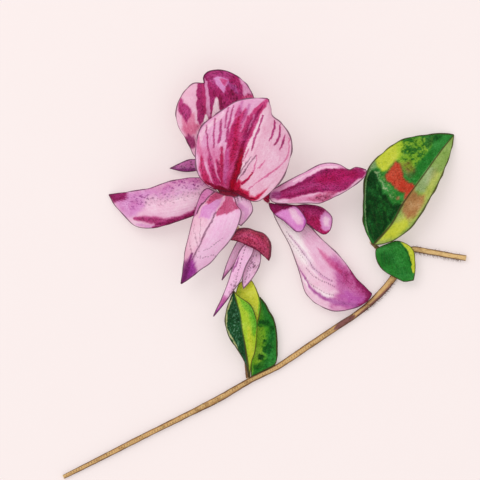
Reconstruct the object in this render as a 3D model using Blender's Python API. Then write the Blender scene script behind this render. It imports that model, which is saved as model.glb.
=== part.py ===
"""A sprig of bush clover laid down on a surface: one zigzag twig, two groups of leaflets and, on one flower stalk, an open
flower, a flower half hidden behind it, a flower seen from its side and a bud. Metres, +Z up, and the surface is at Z = 0.

Every petal and leaflet is a blade: a thin sheet spread between two edges and a rib, which run from its base to its tip.
Edges, ribs and stalks are written in millimetres in plan, X to the right and Y up the sprig, seen from above."""

import math
from bisect import bisect_right
from dataclasses import dataclass

import bmesh
import bpy
from mathutils import Vector

MM = 0.001
# The plan's zero is moved to the middle of the finished sprig's box.
PLAN_CENTRE = (-0.104, 0.046)
PETAL_THICKNESS = 0.7
LEAFLET_THICKNESS = 0.75
# A blade starts and ends with a narrow edge instead of a point: these shares of its length are left off.
BASE_CUT = 0.02
TIP_CUT = 0.015
TUBE_SIDES_PER_QUARTER = 2
CUP_STEPS = 20
TEETH = 5
# Points nearer than this, in metres, are one point.
WELD = 1e-6
PETAL_ROUGHNESS = 0.55
CALYX_ROUGHNESS = 0.6
STALK_ROUGHNESS = 0.8

PALE_PINK = (0.86, 0.55, 0.69)
LILAC_PINK = (0.80, 0.48, 0.68)
CRIMSON = (0.62, 0.07, 0.22)
MAGENTA = (0.56, 0.09, 0.27)
PURPLE = (0.52, 0.18, 0.42)
ROSE_RED = (0.50, 0.08, 0.17)
DEEP_GREEN = (0.04, 0.20, 0.05)
LEAF_GREEN = (0.10, 0.32, 0.06)
YELLOW_GREEN = (0.52, 0.56, 0.07)
BARK = (0.50, 0.34, 0.18)
STALK_GREEN = (0.42, 0.40, 0.16)


@dataclass(frozen=True)
class Blade:
    """A petal or leaflet. Heights are at even steps from base to tip, and a rise is how far an edge stands over the rib."""

    base: tuple
    tip: tuple
    left: tuple
    right: tuple
    rib: tuple
    heights: tuple
    left_rise: tuple
    right_rise: tuple
    colour: tuple
    crown: float = 0.0
    bend: float = 2.0
    columns: int = 8
    rows: int = 10
    thickness: float = PETAL_THICKNESS
    roughness: float = PETAL_ROUGHNESS


@dataclass(frozen=True)
class Tube:
    """A stalk along a smooth route of (x, y, z), with its radius at even steps."""

    route: tuple
    radii: tuple
    points: int


@dataclass(frozen=True)
class Cup:
    """A calyx turned from (radius, height) pairs about its axis, with teeth along its rim."""

    foot: tuple
    axis: tuple
    profile: tuple
    rim: int
    tooth: float
    colour: tuple


TWIG = Tube(
    route=(
        (-44.5, -44.6, 0.42),
        (-36.1, -40.4, 0.51),
        (-27.7, -36.1, 0.55),
        (-16.5, -30.5, 0.58),
        (-10.0, -27.2, 0.62),
        (-3.5, -23.4, 0.68),
        (2.9, -20.2, 0.58),
        (9.9, -15.5, 0.60),
        (16.2, -11.3, 0.63),
        (20.4, -8.5, 0.63),
        (23.9, -5.6, 0.63),
        (28.2, -0.8, 0.63),
        (30.2, 2.9, 0.70),
        (32.0, 5.5, 0.70),
        (36.3, 5.1, 0.62),
        (40.7, 4.3, 0.59),
        (44.4, 3.7, 0.57),
    ),
    radii=(0.46, 0.56, 0.60, 0.62, 0.72, 0.62, 0.66, 0.68, 0.66, 0.80, 0.64, 0.62),
    points=56,
)
LEAF_STALK = Tube(
    route=(
        (28.75, 2.9, 0.55),
        (27.0, 4.2, 0.50),
        (25.2, 5.6, 0.55),
        (24.1, 6.6, 0.85),
        (23.4, 7.3, 1.35),
    ),
    radii=(0.55, 0.46, 0.44, 0.42),
    points=10,
)
FLOWER_STALK = Tube(
    route=(
        (-3.75, -22.1, 0.62),
        (-4.2, -16.5, 0.55),
        (-4.0, -10.0, 0.52),
        (-3.5, -4.4, 0.55),
        (-3.5, -1.0, 0.68),
        (-3.0, 2.2, 1.1),
        (-3.5, 5.1, 1.4),
        (-5.4, 7.6, 1.5),
        (-7.4, 9.8, 1.4),
        (-8.2, 13.0, 1.1),
        (-8.0, 16.3, 0.9),
        (-7.8, 17.8, 1.2),
    ),
    radii=(0.60, 0.52, 0.50, 0.50, 0.50, 0.52, 0.50),
    points=34,
)
BUD_STALK = Tube(
    route=((-7.3, 9.6, 1.4), (-6.7, 10.3, 1.9), (-5.9, 10.3, 2.6)),
    radii=(0.45, 0.42, 0.42),
    points=6,
)
SIDE_STALK = Tube(
    route=((-8.1, 13.6, 1.1), (-5.6, 15.3, 1.5), (-3.3, 17.4, 2.4), (-1.2, 18.4, 3.0)),
    radii=(0.45, 0.42, 0.42),
    points=12,
)
BACK_STALK = Tube(
    route=((-8.0, 15.9, 1.0), (-9.9, 18.6, 0.9), (-11.4, 21.6, 0.8), (-11.8, 23.6, 1.0)),
    radii=(0.45, 0.42, 0.42),
    points=12,
)

MAIN_CALYX = Cup(
    foot=(-7.9, 17.8, 2.0),
    axis=(0.0, 0.0, 1.0),
    profile=((0.8, 0.0), (1.5, 0.7), (2.0, 1.5), (2.2, 2.2), (1.6, 1.9)),
    rim=3,
    tooth=0.35,
    colour=ROSE_RED,
)
BACK_CALYX = Cup(
    foot=(-11.8, 24.0, 1.75),
    axis=(0.0, 0.1, 1.0),
    profile=((0.6, 0.0), (1.0, 0.5), (1.2, 1.1), (1.3, 1.6), (0.9, 1.4)),
    rim=3,
    tooth=0.25,
    colour=ROSE_RED,
)
SIDE_CALYX = Cup(
    foot=(-0.6, 18.1, 3.2),
    axis=(0.85, -0.55, 0.05),
    profile=((0.6, 0.0), (1.0, 0.6), (1.2, 1.4), (1.25, 2.1), (0.9, 1.9)),
    rim=3,
    tooth=0.35,
    colour=CRIMSON,
)

# The open flower.
MAIN_BANNER = Blade(
    base=(-7.3, 18.2),
    tip=(0.7, 38.7),
    left=(
        (-11.5, 19.0),
        (-13.0, 19.9),
        (-14.7, 22.1),
        (-15.3, 25.2),
        (-15.2, 28.4),
        (-14.5, 31.5),
        (-13.2, 33.4),
        (-9.5, 36.1),
        (-6.2, 38.1),
        (-2.4, 38.8),
    ),
    right=(
        (-5.3, 17.4),
        (-3.1, 16.3),
        (-1.4, 16.2),
        (0.2, 17.2),
        (2.2, 19.1),
        (4.0, 21.6),
        (5.3, 24.6),
        (5.9, 28.4),
        (5.3, 30.8),
        (3.5, 33.4),
        (1.6, 34.9),
        (1.4, 36.3),
    ),
    rib=((-6.2, 23.1), (-5.3, 27.3), (-3.5, 30.8), (-1.8, 34.8)),
    heights=(5.15, 8.2, 9.9, 12.0, 13.8),
    left_rise=(0.4, -0.3, -0.9, -0.7, 0.0),
    right_rise=(0.4, 0.2, -0.7, -1.0, 0.0),
    crown=1.1,
    columns=12,
    rows=14,
    colour=PALE_PINK,
)
MAIN_WING_LEFT = Blade(
    base=(-9.3, 17.3),
    tip=(-34.5, 17.8),
    left=(
        (-12.1, 13.9),
        (-15.2, 13.2),
        (-19.7, 11.7),
        (-22.4, 10.8),
        (-25.1, 10.3),
        (-27.5, 10.4),
        (-29.0, 11.0),
        (-31.1, 13.2),
        (-33.0, 15.2),
    ),
    right=((-12.1, 20.0), (-14.7, 21.5), (-20.7, 20.7), (-25.7, 19.1), (-30.7, 18.3)),
    rib=((-15.0, 17.5), (-22.0, 16.2), (-29.0, 16.0)),
    heights=(5.2, 5.2, 5.4, 3.8, 0.1),
    left_rise=(0.0, -0.5, -1.2, -1.4, 0.0),
    right_rise=(0.0, -0.1, 0.4, 0.7, 0.0),
    crown=0.4,
    rows=12,
    colour=LILAC_PINK,
)
MAIN_WING_RIGHT = Blade(
    base=(-7.7, 16.4),
    tip=(-5.3, 10.8),
    left=((-5.9, 17.4), (-4.0, 17.1), (-3.1, 16.1), (-2.7, 14.3), (-3.7, 12.6)),
    right=((-7.9, 14.2), (-6.6, 11.8)),
    rib=((-5.9, 15.4), (-5.0, 13.2)),
    heights=(5.0, 5.5, 5.5, 5.1, 4.5),
    left_rise=(0.0, -0.3, -0.8, -0.6, 0.0),
    right_rise=(0.0, 0.1, 0.1, 0.0, 0.0),
    columns=6,
    rows=8,
    colour=PALE_PINK,
)
MAIN_KEEL = Blade(
    base=(-8.7, 17.5),
    tip=(-18.5, -2.0),
    left=(
        (-6.9, 17.1),
        (-6.2, 15.4),
        (-5.3, 14.1),
        (-5.4, 12.8),
        (-6.2, 10.3),
        (-7.7, 7.7),
        (-9.9, 5.1),
        (-12.1, 2.6),
        (-14.3, 1.1),
        (-16.5, -0.7),
    ),
    right=(
        (-11.2, 18.4),
        (-12.7, 19.0),
        (-13.9, 18.0),
        (-14.7, 16.3),
        (-15.3, 14.3),
        (-16.1, 11.3),
        (-16.9, 8.1),
        (-17.6, 5.1),
        (-17.9, 2.4),
    ),
    rib=((-10.1, 14.5), (-11.7, 12.3), (-12.8, 9.5), (-13.9, 7.5), (-15.0, 5.5), (-16.1, 3.9)),
    heights=(6.4, 10.6, 10.5, 8.4, 5.0),
    left_rise=(0.0, -2.4, -3.0, -2.0, 0.0),
    right_rise=(0.0, -2.9, -3.1, -2.0, 0.0),
    bend=1.5,
    crown=0.3,
    columns=10,
    rows=12,
    colour=PALE_PINK,
)

# The flower half hidden behind it.
BACK_BANNER = Blade(
    base=(-11.2, 24.2),
    tip=(-13.3, 42.2),
    left=((-15.4, 26.0), (-16.9, 29.0), (-19.0, 32.4), (-19.6, 35.3), (-18.7, 38.9), (-16.0, 42.0)),
    right=(
        (-8.1, 25.7),
        (-4.4, 30.8),
        (-2.0, 35.9),
        (-2.4, 38.9),
        (-4.2, 42.2),
        (-6.2, 43.8),
        (-8.8, 44.9),
        (-12.2, 44.8),
        (-13.5, 43.6),
    ),
    rib=((-12.0, 30.0), (-12.3, 35.5), (-13.0, 39.5)),
    heights=(4.2, 5.3, 6.2, 6.6, 6.2),
    left_rise=(0.0, -0.6, -1.4, -1.6, 0.0),
    right_rise=(0.0, -0.5, -1.2, -1.0, 0.0),
    crown=0.8,
    columns=10,
    rows=12,
    colour=MAGENTA,
)
BACK_WING = Blade(
    base=(-13.3, 24.6),
    tip=(-21.0, 23.5),
    left=((-14.2, 23.3), (-15.6, 22.9), (-17.8, 22.8)),
    right=((-14.5, 25.4), (-16.0, 25.5), (-17.8, 25.0)),
    rib=((-15.8, 24.3), (-18.5, 23.9)),
    heights=(2.9, 2.6, 2.1, 1.6, 1.1),
    left_rise=(0.0, -0.3, -0.5, -0.3, 0.0),
    right_rise=(0.0, -0.3, -0.5, -0.3, 0.0),
    columns=6,
    rows=8,
    colour=PURPLE,
)

# The flower seen from its side.
SIDE_BANNER = Blade(
    base=(0.8, 17.3),
    tip=(22.3, 23.1),
    left=(
        (1.4, 18.6),
        (2.6, 19.3),
        (6.2, 21.3),
        (9.9, 23.2),
        (12.2, 24.3),
        (14.3, 24.6),
        (16.5, 24.2),
        (18.5, 23.1),
        (20.0, 23.7),
    ),
    right=(
        (1.6, 16.1),
        (3.9, 15.7),
        (9.6, 15.8),
        (12.2, 15.8),
        (15.4, 17.2),
        (18.3, 18.7),
        (20.5, 20.4),
        (22.0, 21.7),
    ),
    rib=((5.0, 18.2), (11.0, 20.1), (17.0, 21.6)),
    heights=(5.2, 7.4, 8.8, 9.0, 7.8),
    left_rise=(0.0, -0.6, -1.1, -1.0, 0.0),
    right_rise=(0.0, -0.4, -0.7, -0.6, 0.0),
    crown=0.4,
    rows=12,
    colour=MAGENTA,
)
SIDE_WING = Blade(
    base=(0.8, 15.9),
    tip=(8.4, 9.9),
    left=((2.4, 15.6), (4.0, 15.3), (5.9, 15.4), (7.1, 14.9), (8.4, 13.4), (9.1, 11.7)),
    right=((1.1, 14.6), (2.2, 13.2), (4.2, 11.8), (5.5, 10.6), (6.8, 9.6), (7.8, 9.5)),
    rib=((3.4, 14.0), (5.5, 12.5), (7.2, 11.0)),
    heights=(4.8, 5.5, 6.0, 6.0, 5.6),
    left_rise=(0.0, -0.3, -0.5, -0.4, 0.0),
    right_rise=(0.0, -0.3, -0.5, -0.4, 0.0),
    rows=8,
    colour=LILAC_PINK,
)
SIDE_TONGUE = Blade(
    base=(2.1, 16.0),
    tip=(14.8, 11.2),
    left=((4.6, 15.7), (7.0, 15.4), (9.6, 15.5), (11.6, 15.2), (13.2, 14.5), (14.7, 12.8)),
    right=((3.6, 13.8), (6.6, 12.2), (9.4, 11.2), (11.4, 9.7), (13.2, 8.9), (14.3, 9.7)),
    rib=((6.2, 14.1), (10.2, 13.1), (13.0, 12.0)),
    heights=(3.5, 4.1, 4.6, 4.9, 4.8),
    left_rise=(0.0, -0.3, -0.7, -1.0, 0.0),
    right_rise=(0.0, -0.2, -0.5, -0.9, 0.0),
    rows=8,
    colour=CRIMSON,
)
SIDE_KEEL = Blade(
    base=(1.5, 15.3),
    tip=(23.7, -4.2),
    left=(
        (3.6, 14.4),
        (6.6, 12.8),
        (9.6, 11.0),
        (11.9, 8.6),
        (14.3, 6.3),
        (16.5, 4.2),
        (18.3, 2.0),
        (20.5, -1.1),
        (22.4, -2.9),
    ),
    right=(
        (1.9, 13.3),
        (3.5, 10.1),
        (5.6, 6.2),
        (7.5, 0.9),
        (8.2, -1.7),
        (8.9, -3.9),
        (11.0, -6.2),
        (14.1, -7.7),
        (15.8, -8.0),
        (18.3, -7.7),
        (20.5, -7.0),
        (22.4, -6.0),
    ),
    rib=((4.6, 10.6), (8.2, 5.6), (12.4, 0.6), (18.4, -3.6)),
    heights=(2.0, 2.9, 3.8, 3.6, 2.3),
    left_rise=(0.0, -0.5, -1.0, -0.8, 0.0),
    right_rise=(0.0, -0.9, -1.9, -1.2, 0.0),
    columns=10,
    rows=12,
    colour=PALE_PINK,
)

# The bud: a hooded calyx over three closed petals.
BUD_CALYX = Blade(
    base=(-7.7, 7.7),
    tip=(0.8, 3.1),
    left=((-6.2, 9.9), (-4.6, 10.3), (-2.0, 9.7), (-0.2, 9.0), (0.9, 7.7), (1.3, 6.2), (1.2, 4.2)),
    right=((-6.0, 7.3), (-4.2, 6.6), (-2.4, 5.7), (-0.9, 4.6)),
    rib=((-5.6, 8.4), (-2.9, 7.6), (-0.5, 6.2)),
    heights=(3.6, 6.0, 6.6, 5.6, 3.0),
    left_rise=(0.0, -2.4, -2.8, -2.2, 0.0),
    right_rise=(0.0, 0.0, 0.1, 0.0, 0.0),
    colour=ROSE_RED,
)
BUD_PETAL_LEFT = Blade(
    base=(-5.4, 8.2),
    tip=(-9.5, -1.2),
    left=((-5.3, 6.4), (-5.8, 4.4), (-7.0, 2.0), (-8.4, 0.2)),
    right=((-6.2, 7.3), (-7.5, 4.8), (-8.6, 2.0)),
    rib=((-6.4, 5.2), (-7.6, 2.4)),
    heights=(3.6, 3.2, 2.8, 2.4, 2.0),
    left_rise=(0.0, -0.2, -0.3, -0.2, 0.0),
    right_rise=(0.0, -0.2, -0.4, -0.3, 0.0),
    columns=6,
    rows=8,
    colour=LILAC_PINK,
)
BUD_PETAL_MIDDLE = Blade(
    base=(-3.7, 7.6),
    tip=(-11.4, -9.2),
    left=((-2.4, 5.7), (-4.2, 2.0), (-5.4, -1.3), (-7.1, -3.6), (-8.9, -6.2), (-10.7, -8.4)),
    right=((-5.4, 5.6), (-7.1, 1.7), (-8.0, -1.1), (-9.6, -5.3), (-10.7, -7.5)),
    rib=((-4.7, 4.0), (-6.7, -1.0), (-9.2, -5.8)),
    heights=(5.1, 5.2, 5.1, 4.7, 3.8),
    left_rise=(0.0, -0.3, -0.5, -0.4, 0.0),
    right_rise=(0.0, -0.3, -0.5, -0.4, 0.0),
    columns=6,
    rows=12,
    colour=LILAC_PINK,
)
BUD_PETAL_RIGHT = Blade(
    base=(-1.6, 6.6),
    tip=(-4.8, -3.1),
    left=((-0.9, 4.6), (-1.0, 2.9), (-1.8, 0.9), (-2.9, -0.9)),
    right=((-2.4, 5.5), (-3.4, 3.1), (-4.3, 0.9), (-4.8, -1.3)),
    rib=((-2.0, 3.8), (-3.2, 0.4)),
    heights=(3.8, 3.9, 3.8, 3.5, 3.2),
    left_rise=(0.0, -0.3, -0.5, -0.3, 0.0),
    right_rise=(0.0, -0.2, -0.3, -0.2, 0.0),
    columns=6,
    rows=8,
    colour=LILAC_PINK,
)

# The lower leaf's three leaflets.
LEAFLET_FOLDED = Blade(
    base=(-3.75, -21.8),
    tip=(-6.9, -3.4),
    left=(
        (-4.3, -19.4),
        (-6.4, -15.8),
        (-7.6, -14.3),
        (-8.5, -12.1),
        (-8.8, -9.7),
        (-8.5, -7.6),
        (-7.7, -5.3),
    ),
    right=(
        (-3.0, -19.1),
        (-2.3, -17.1),
        (-1.8, -12.8),
        (-1.8, -10.3),
        (-2.4, -8.1),
        (-3.2, -6.6),
        (-4.4, -5.6),
        (-5.9, -4.6),
    ),
    rib=((-3.9, -18.7), (-4.4, -15.4), (-5.1, -11.4), (-5.5, -8.4), (-6.3, -5.9)),
    heights=(2.05, 4.3, 4.7, 4.3, 3.5),
    left_rise=(0.0, -0.9, -1.1, -0.8, 0.0),
    right_rise=(0.0, -0.9, -1.1, -0.8, 0.0),
    bend=1.3,
    thickness=LEAFLET_THICKNESS,
    colour=LEAF_GREEN,
)
LEAFLET_YELLOW = Blade(
    base=(-3.2, -19.2),
    tip=(-3.8, -0.9),
    left=((-5.1, -15.4), (-6.2, -9.9), (-6.6, -4.8), (-6.0, -2.4), (-5.1, -1.3)),
    right=((-2.4, -16.5), (-1.9, -12.1), (-1.1, -8.4), (-0.9, -6.4), (-1.8, -3.3), (-2.7, -1.4)),
    rib=((-3.7, -13.0), (-3.8, -6.5)),
    heights=(1.8, 1.85, 1.9, 1.95, 2.0),
    left_rise=(0.0, 0.0, 0.0, 0.0, 0.0),
    right_rise=(0.0, 0.1, 0.2, 0.1, 0.0),
    thickness=LEAFLET_THICKNESS,
    colour=YELLOW_GREEN,
)
LEAFLET_BROAD = Blade(
    base=(-2.5, -21.3),
    tip=(-1.2, -4.8),
    left=((-2.9, -19.1), (-2.9, -15.4), (-2.8, -11.0), (-2.2, -7.3)),
    right=(
        (-0.9, -20.6),
        (1.2, -19.6),
        (2.3, -18.4),
        (2.5, -16.8),
        (2.6, -14.5),
        (2.5, -11.7),
        (2.0, -9.7),
        (0.9, -7.9),
        (0.0, -6.2),
    ),
    rib=((-1.0, -17.5), (-0.3, -12.5), (-0.6, -8.0)),
    heights=(0.8, 0.75, 0.75, 0.75, 0.8),
    left_rise=(0.0, 0.0, 0.0, 0.0, 0.0),
    right_rise=(0.0, 0.5, 1.2, 0.9, 0.0),
    thickness=LEAFLET_THICKNESS,
    colour=LEAF_GREEN,
)

# The upper leaf's two leaflets.
LEAFLET_LARGE = Blade(
    base=(23.7, 6.5),
    tip=(41.8, 31.0),
    left=(
        (22.0, 9.8),
        (21.5, 12.6),
        (21.7, 18.3),
        (21.9, 21.2),
        (22.7, 23.5),
        (24.4, 25.7),
        (29.0, 29.3),
        (31.8, 30.4),
        (35.4, 30.9),
        (38.7, 31.2),
    ),
    right=(
        (26.6, 6.9),
        (29.0, 7.9),
        (31.8, 10.0),
        (34.2, 13.2),
        (37.8, 19.4),
        (39.6, 23.3),
        (40.9, 26.4),
    ),
    rib=((27.7, 11.0), (30.6, 16.1), (35.4, 22.7), (38.9, 27.5)),
    heights=(2.4, 3.7, 3.9, 2.6, 0.2),
    left_rise=(0.0, 1.7, 2.3, 1.4, 0.0),
    right_rise=(0.0, 1.0, 1.5, 0.9, 0.0),
    bend=1.4,
    columns=10,
    rows=12,
    thickness=LEAFLET_THICKNESS,
    colour=DEEP_GREEN,
)
LEAFLET_SMALL = Blade(
    base=(24.5, 5.8),
    tip=(32.8, -1.2),
    left=((26.8, 6.6), (29.2, 7.3), (31.6, 6.6), (32.8, 5.3), (33.1, 3.3), (33.1, 0.7)),
    right=((24.3, 4.6), (24.9, 2.6), (26.4, 0.7), (29.0, -0.7), (30.6, -1.5)),
    rib=((27.5, 3.8), (30.3, 1.2)),
    heights=(1.75, 2.3, 2.8, 2.7, 2.3),
    left_rise=(0.0, -0.2, -0.3, -0.2, 0.0),
    right_rise=(0.0, -0.3, -0.4, -0.3, 0.0),
    thickness=LEAFLET_THICKNESS,
    colour=LEAF_GREEN,
)

BLADES = {
    "main_banner": MAIN_BANNER,
    "main_wing_left": MAIN_WING_LEFT,
    "main_wing_right": MAIN_WING_RIGHT,
    "main_keel": MAIN_KEEL,
    "back_banner": BACK_BANNER,
    "back_wing": BACK_WING,
    "side_banner": SIDE_BANNER,
    "side_wing": SIDE_WING,
    "side_tongue": SIDE_TONGUE,
    "side_keel": SIDE_KEEL,
    "bud_calyx": BUD_CALYX,
    "bud_petal_left": BUD_PETAL_LEFT,
    "bud_petal_middle": BUD_PETAL_MIDDLE,
    "bud_petal_right": BUD_PETAL_RIGHT,
    "leaflet_folded": LEAFLET_FOLDED,
    "leaflet_yellow": LEAFLET_YELLOW,
    "leaflet_broad": LEAFLET_BROAD,
    "leaflet_large": LEAFLET_LARGE,
    "leaflet_small": LEAFLET_SMALL,
}
CUPS = {"main_calyx": MAIN_CALYX, "back_calyx": BACK_CALYX, "side_calyx": SIDE_CALYX}


def clear_scene():
    for obj in list(bpy.data.objects):
        bpy.data.objects.remove(obj, do_unlink=True)


def hermite(knots, values, place):
    """Value at this place of a smooth curve through the values, which stand at the knots."""
    last = len(values) - 1
    i = min(max(bisect_right(knots, place) - 1, 0), last - 1)
    span = knots[i + 1] - knots[i]
    slopes = []
    for j in (i, i + 1):
        low, high = max(j - 1, 0), min(j + 1, last)
        slopes.append((values[high] - values[low]) / (knots[high] - knots[low]))
    f = (place - knots[i]) / span
    g = 1 - f
    ends = values[i] * (g * g * (1 + 2 * f)) + values[i + 1] * (f * f * (3 - 2 * f))
    return ends + (slopes[0] * (g * g * f) - slopes[1] * (f * f * g)) * span


def along_curve(points, share):
    """Point at this share of the length of a smooth curve through the points."""
    vectors = [Vector(point) for point in points]
    knots = [0.0]
    for a, b in zip(vectors, vectors[1:]):
        knots.append(knots[-1] + (b - a).length)
    return hermite(knots, vectors, share * knots[-1])


def along_steps(values, share):
    """Value at this share of a smooth curve through values that stand at even steps."""
    return hermite(list(range(len(values))), values, share * (len(values) - 1))


def place_in_plan(point):
    """A point in millimetres in plan as metres about the sprig's middle."""
    moved = Vector((point[0] - PLAN_CENTRE[0], point[1] - PLAN_CENTRE[1], point[2]))
    return moved * MM


def blade_point(blade, across, along):
    """Point of a blade's middle sheet, across from -1 at the left edge to 1 at the right, along from 0 to 1."""
    side = blade.left if across < 0 else blade.right
    rise = blade.left_rise if across < 0 else blade.right_rise
    width = abs(across)
    rib = along_curve((blade.base, *blade.rib, blade.tip), along)
    edge = along_curve((blade.base, *side, blade.tip), along)
    plan = rib.lerp(edge, width)
    z = along_steps(blade.heights, along) + along_steps(rise, along) * width**blade.bend
    z += blade.crown * 4 * width * (1 - width) * math.sin(math.pi * along)
    return place_in_plan((plan.x, plan.y, z))


def finish(name, colour, roughness):
    """A Principled material of one colour."""
    material = bpy.data.materials.new(name)
    material.use_nodes = True
    shader = material.node_tree.nodes["Principled BSDF"]
    shader.inputs["Base Color"].default_value = (*colour, 1.0)
    shader.inputs["Roughness"].default_value = roughness
    shader.inputs["Metallic"].default_value = 0.0
    return material


def add_object(name, mesh, colour, roughness):
    mesh.materials.append(finish(name, colour, roughness))
    mesh.shade_smooth()
    obj = bpy.data.objects.new(name, mesh)
    bpy.context.scene.collection.objects.link(obj)
    return obj


def applied(obj):
    """The object's mesh with its modifiers worked in, closed and lying no lower than the surface."""
    graph = bpy.context.evaluated_depsgraph_get()
    mesh = bpy.data.meshes.new_from_object(obj.evaluated_get(graph))
    for vertex in mesh.vertices:
        vertex.co.z = max(vertex.co.z, 0.0)
    return mesh


def add_blade(name, blade):
    """One petal or leaflet: a grid moved to its sheet, cut into triangles and given its thickness."""
    sheet = bmesh.new()
    bmesh.ops.create_grid(sheet, x_segments=blade.columns, y_segments=blade.rows, size=1.0)
    for vertex in sheet.verts:
        share = BASE_CUT + (1 - TIP_CUT - BASE_CUT) * (vertex.co.y + 1) / 2
        vertex.co = blade_point(blade, vertex.co.x, share)
    bmesh.ops.triangulate(sheet, faces=sheet.faces)
    mesh = bpy.data.meshes.new(name)
    sheet.to_mesh(mesh)
    sheet.free()
    obj = add_object(name, mesh, blade.colour, blade.roughness)
    solid = obj.modifiers.new("thickness", "SOLIDIFY")
    solid.thickness = blade.thickness * MM
    solid.offset = 0.0
    flat = applied(obj)
    obj.modifiers.clear()
    obj.data = flat
    return obj


def add_tube(name, tube, colour):
    """One round stalk with closed ends, as a mesh."""
    curve = bpy.data.curves.new(name, "CURVE")
    curve.dimensions = "3D"
    curve.bevel_depth = MM
    curve.bevel_resolution = TUBE_SIDES_PER_QUARTER
    curve.use_fill_caps = True
    spline = curve.splines.new("POLY")
    spline.points.add(tube.points - 1)
    for i, point in enumerate(spline.points):
        share = i / (tube.points - 1)
        point.co = (*place_in_plan(along_curve(tube.route, share)), 1.0)
        point.radius = along_steps(tube.radii, share)
    guide = bpy.data.objects.new(name + "_guide", curve)
    bpy.context.scene.collection.objects.link(guide)
    mesh = applied(guide)
    bpy.data.objects.remove(guide, do_unlink=True)
    ends = bmesh.new()
    ends.from_mesh(mesh)
    bmesh.ops.remove_doubles(ends, verts=ends.verts, dist=WELD)
    bmesh.ops.recalc_face_normals(ends, faces=ends.faces)
    ends.to_mesh(mesh)
    ends.free()
    mesh.materials.clear()
    return add_object(name, mesh, colour, STALK_ROUGHNESS)


def add_cup(name, cup):
    """One calyx: its profile spun about its axis, the rim drawn out into teeth."""
    lathe = bmesh.new()
    top = cup.profile[-1][1]
    outline = ((0.0, 0.0), *cup.profile, (0.0, top - cup.tooth))
    line = [lathe.verts.new((r * MM, 0.0, h * MM)) for r, h in outline]
    edges = [lathe.edges.new(pair) for pair in zip(line, line[1:])]
    rim_height = cup.profile[cup.rim][1] * MM
    bmesh.ops.spin(
        lathe,
        geom=line + edges,
        cent=(0, 0, 0),
        axis=(0, 0, 1),
        angle=2 * math.pi,
        steps=CUP_STEPS,
        use_merge=True,
    )
    bmesh.ops.remove_doubles(lathe, verts=lathe.verts, dist=WELD)
    bmesh.ops.recalc_face_normals(lathe, faces=lathe.faces)
    lean = Vector((0, 0, 1)).rotation_difference(Vector(cup.axis))
    foot = place_in_plan(cup.foot)
    for vertex in lathe.verts:
        if abs(vertex.co.z - rim_height) < WELD:
            turn = math.atan2(vertex.co.y, vertex.co.x)
            vertex.co.z += cup.tooth * MM * math.cos(TEETH * turn)
        vertex.co = foot + lean @ vertex.co
    mesh = bpy.data.meshes.new(name)
    lathe.to_mesh(mesh)
    lathe.free()
    return add_object(name, mesh, cup.colour, CALYX_ROUGHNESS)


def fuse(body, others):
    """Joins the other solids to the body and removes them."""
    group = bpy.data.collections.new("joined")
    for other in others:
        group.objects.link(other)
    union = body.modifiers.new("union", "BOOLEAN")
    union.operation = "UNION"
    union.operand_type = "COLLECTION"
    union.collection = group
    union.solver = "EXACT"
    graph = bpy.context.evaluated_depsgraph_get()
    mesh = bpy.data.meshes.new_from_object(body.evaluated_get(graph))
    body.modifiers.clear()
    body.data = mesh
    for other in others:
        bpy.data.objects.remove(other, do_unlink=True)
    bpy.data.collections.remove(group)


def main():
    clear_scene()
    add_tube("twig", TWIG, BARK)
    add_tube("leaf_stalk", LEAF_STALK, STALK_GREEN)
    stalk = add_tube("flower_stalk", FLOWER_STALK, STALK_GREEN)
    branches = (("bud_branch", BUD_STALK), ("side_branch", SIDE_STALK), ("back_branch", BACK_STALK))
    fuse(stalk, [add_tube(name, tube, STALK_GREEN) for name, tube in branches])
    for name, cup in CUPS.items():
        add_cup(name, cup)
    for name, blade in BLADES.items():
        add_blade(name, blade)


main()
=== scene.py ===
"""Looks of a bush clover sprig that lies on a pale surface and is seen from straight above.

Every petal and leaflet is a thin blade spread between two edges and a rib, on the same curves as its solid.
Its colours are painted on its points by named strokes and patches. All places are in millimetres in plan,
X to the right and Y up the sprig, and become metres only when a mesh is made.
"""

import logging
import math
from dataclasses import dataclass
from enum import Enum, IntEnum
from typing import Optional

import bmesh
import bpy
import numpy as np
from mathutils import Matrix, Vector


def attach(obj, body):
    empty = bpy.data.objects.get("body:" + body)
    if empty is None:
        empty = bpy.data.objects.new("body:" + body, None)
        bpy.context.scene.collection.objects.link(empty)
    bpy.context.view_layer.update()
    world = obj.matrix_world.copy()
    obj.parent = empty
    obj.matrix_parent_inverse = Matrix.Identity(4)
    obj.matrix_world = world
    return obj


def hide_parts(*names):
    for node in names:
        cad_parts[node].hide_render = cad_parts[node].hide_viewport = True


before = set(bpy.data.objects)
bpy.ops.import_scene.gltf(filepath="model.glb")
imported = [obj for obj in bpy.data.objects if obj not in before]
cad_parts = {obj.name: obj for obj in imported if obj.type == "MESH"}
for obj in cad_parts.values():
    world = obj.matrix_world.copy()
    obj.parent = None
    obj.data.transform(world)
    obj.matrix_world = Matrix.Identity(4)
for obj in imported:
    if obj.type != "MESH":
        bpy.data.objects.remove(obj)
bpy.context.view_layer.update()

MM = 0.001
# The plan's zero is moved to the middle of the finished sprig's box.
PLAN_CENTRE = (-0.104, 0.046)
# Shares of a blade's length that are cut off, so that its ends aren't single points.
BASE_CUT = 0.012
TIP_CUT = 0.006
PETAL_THICKNESS = 0.26
LEAFLET_THICKNESS = 0.32
# Pieces add the length of their node's name to this, so that their own patterns differ.
NAME_SEED = 17
# Squares along each side of the seeded field of specks, before it repeats.
SPECK_SQUARES = 97
# A speck's least radius, how much larger it may be and its soft edge, as shares of its square.
SPECK_RADIUS = 0.16
SPECK_SPREAD = 0.3
SPECK_EDGE = 0.2
# The narrowest soft edges of strokes and dots, in millimetres.
STROKE_EDGE = 0.12
DOT_EDGE = 0.14
# Straight steps that stand for a blade's rib and for each of its edges when they are measured.
EDGE_STEPS = 90
COARSE_ROWS = 40
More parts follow.
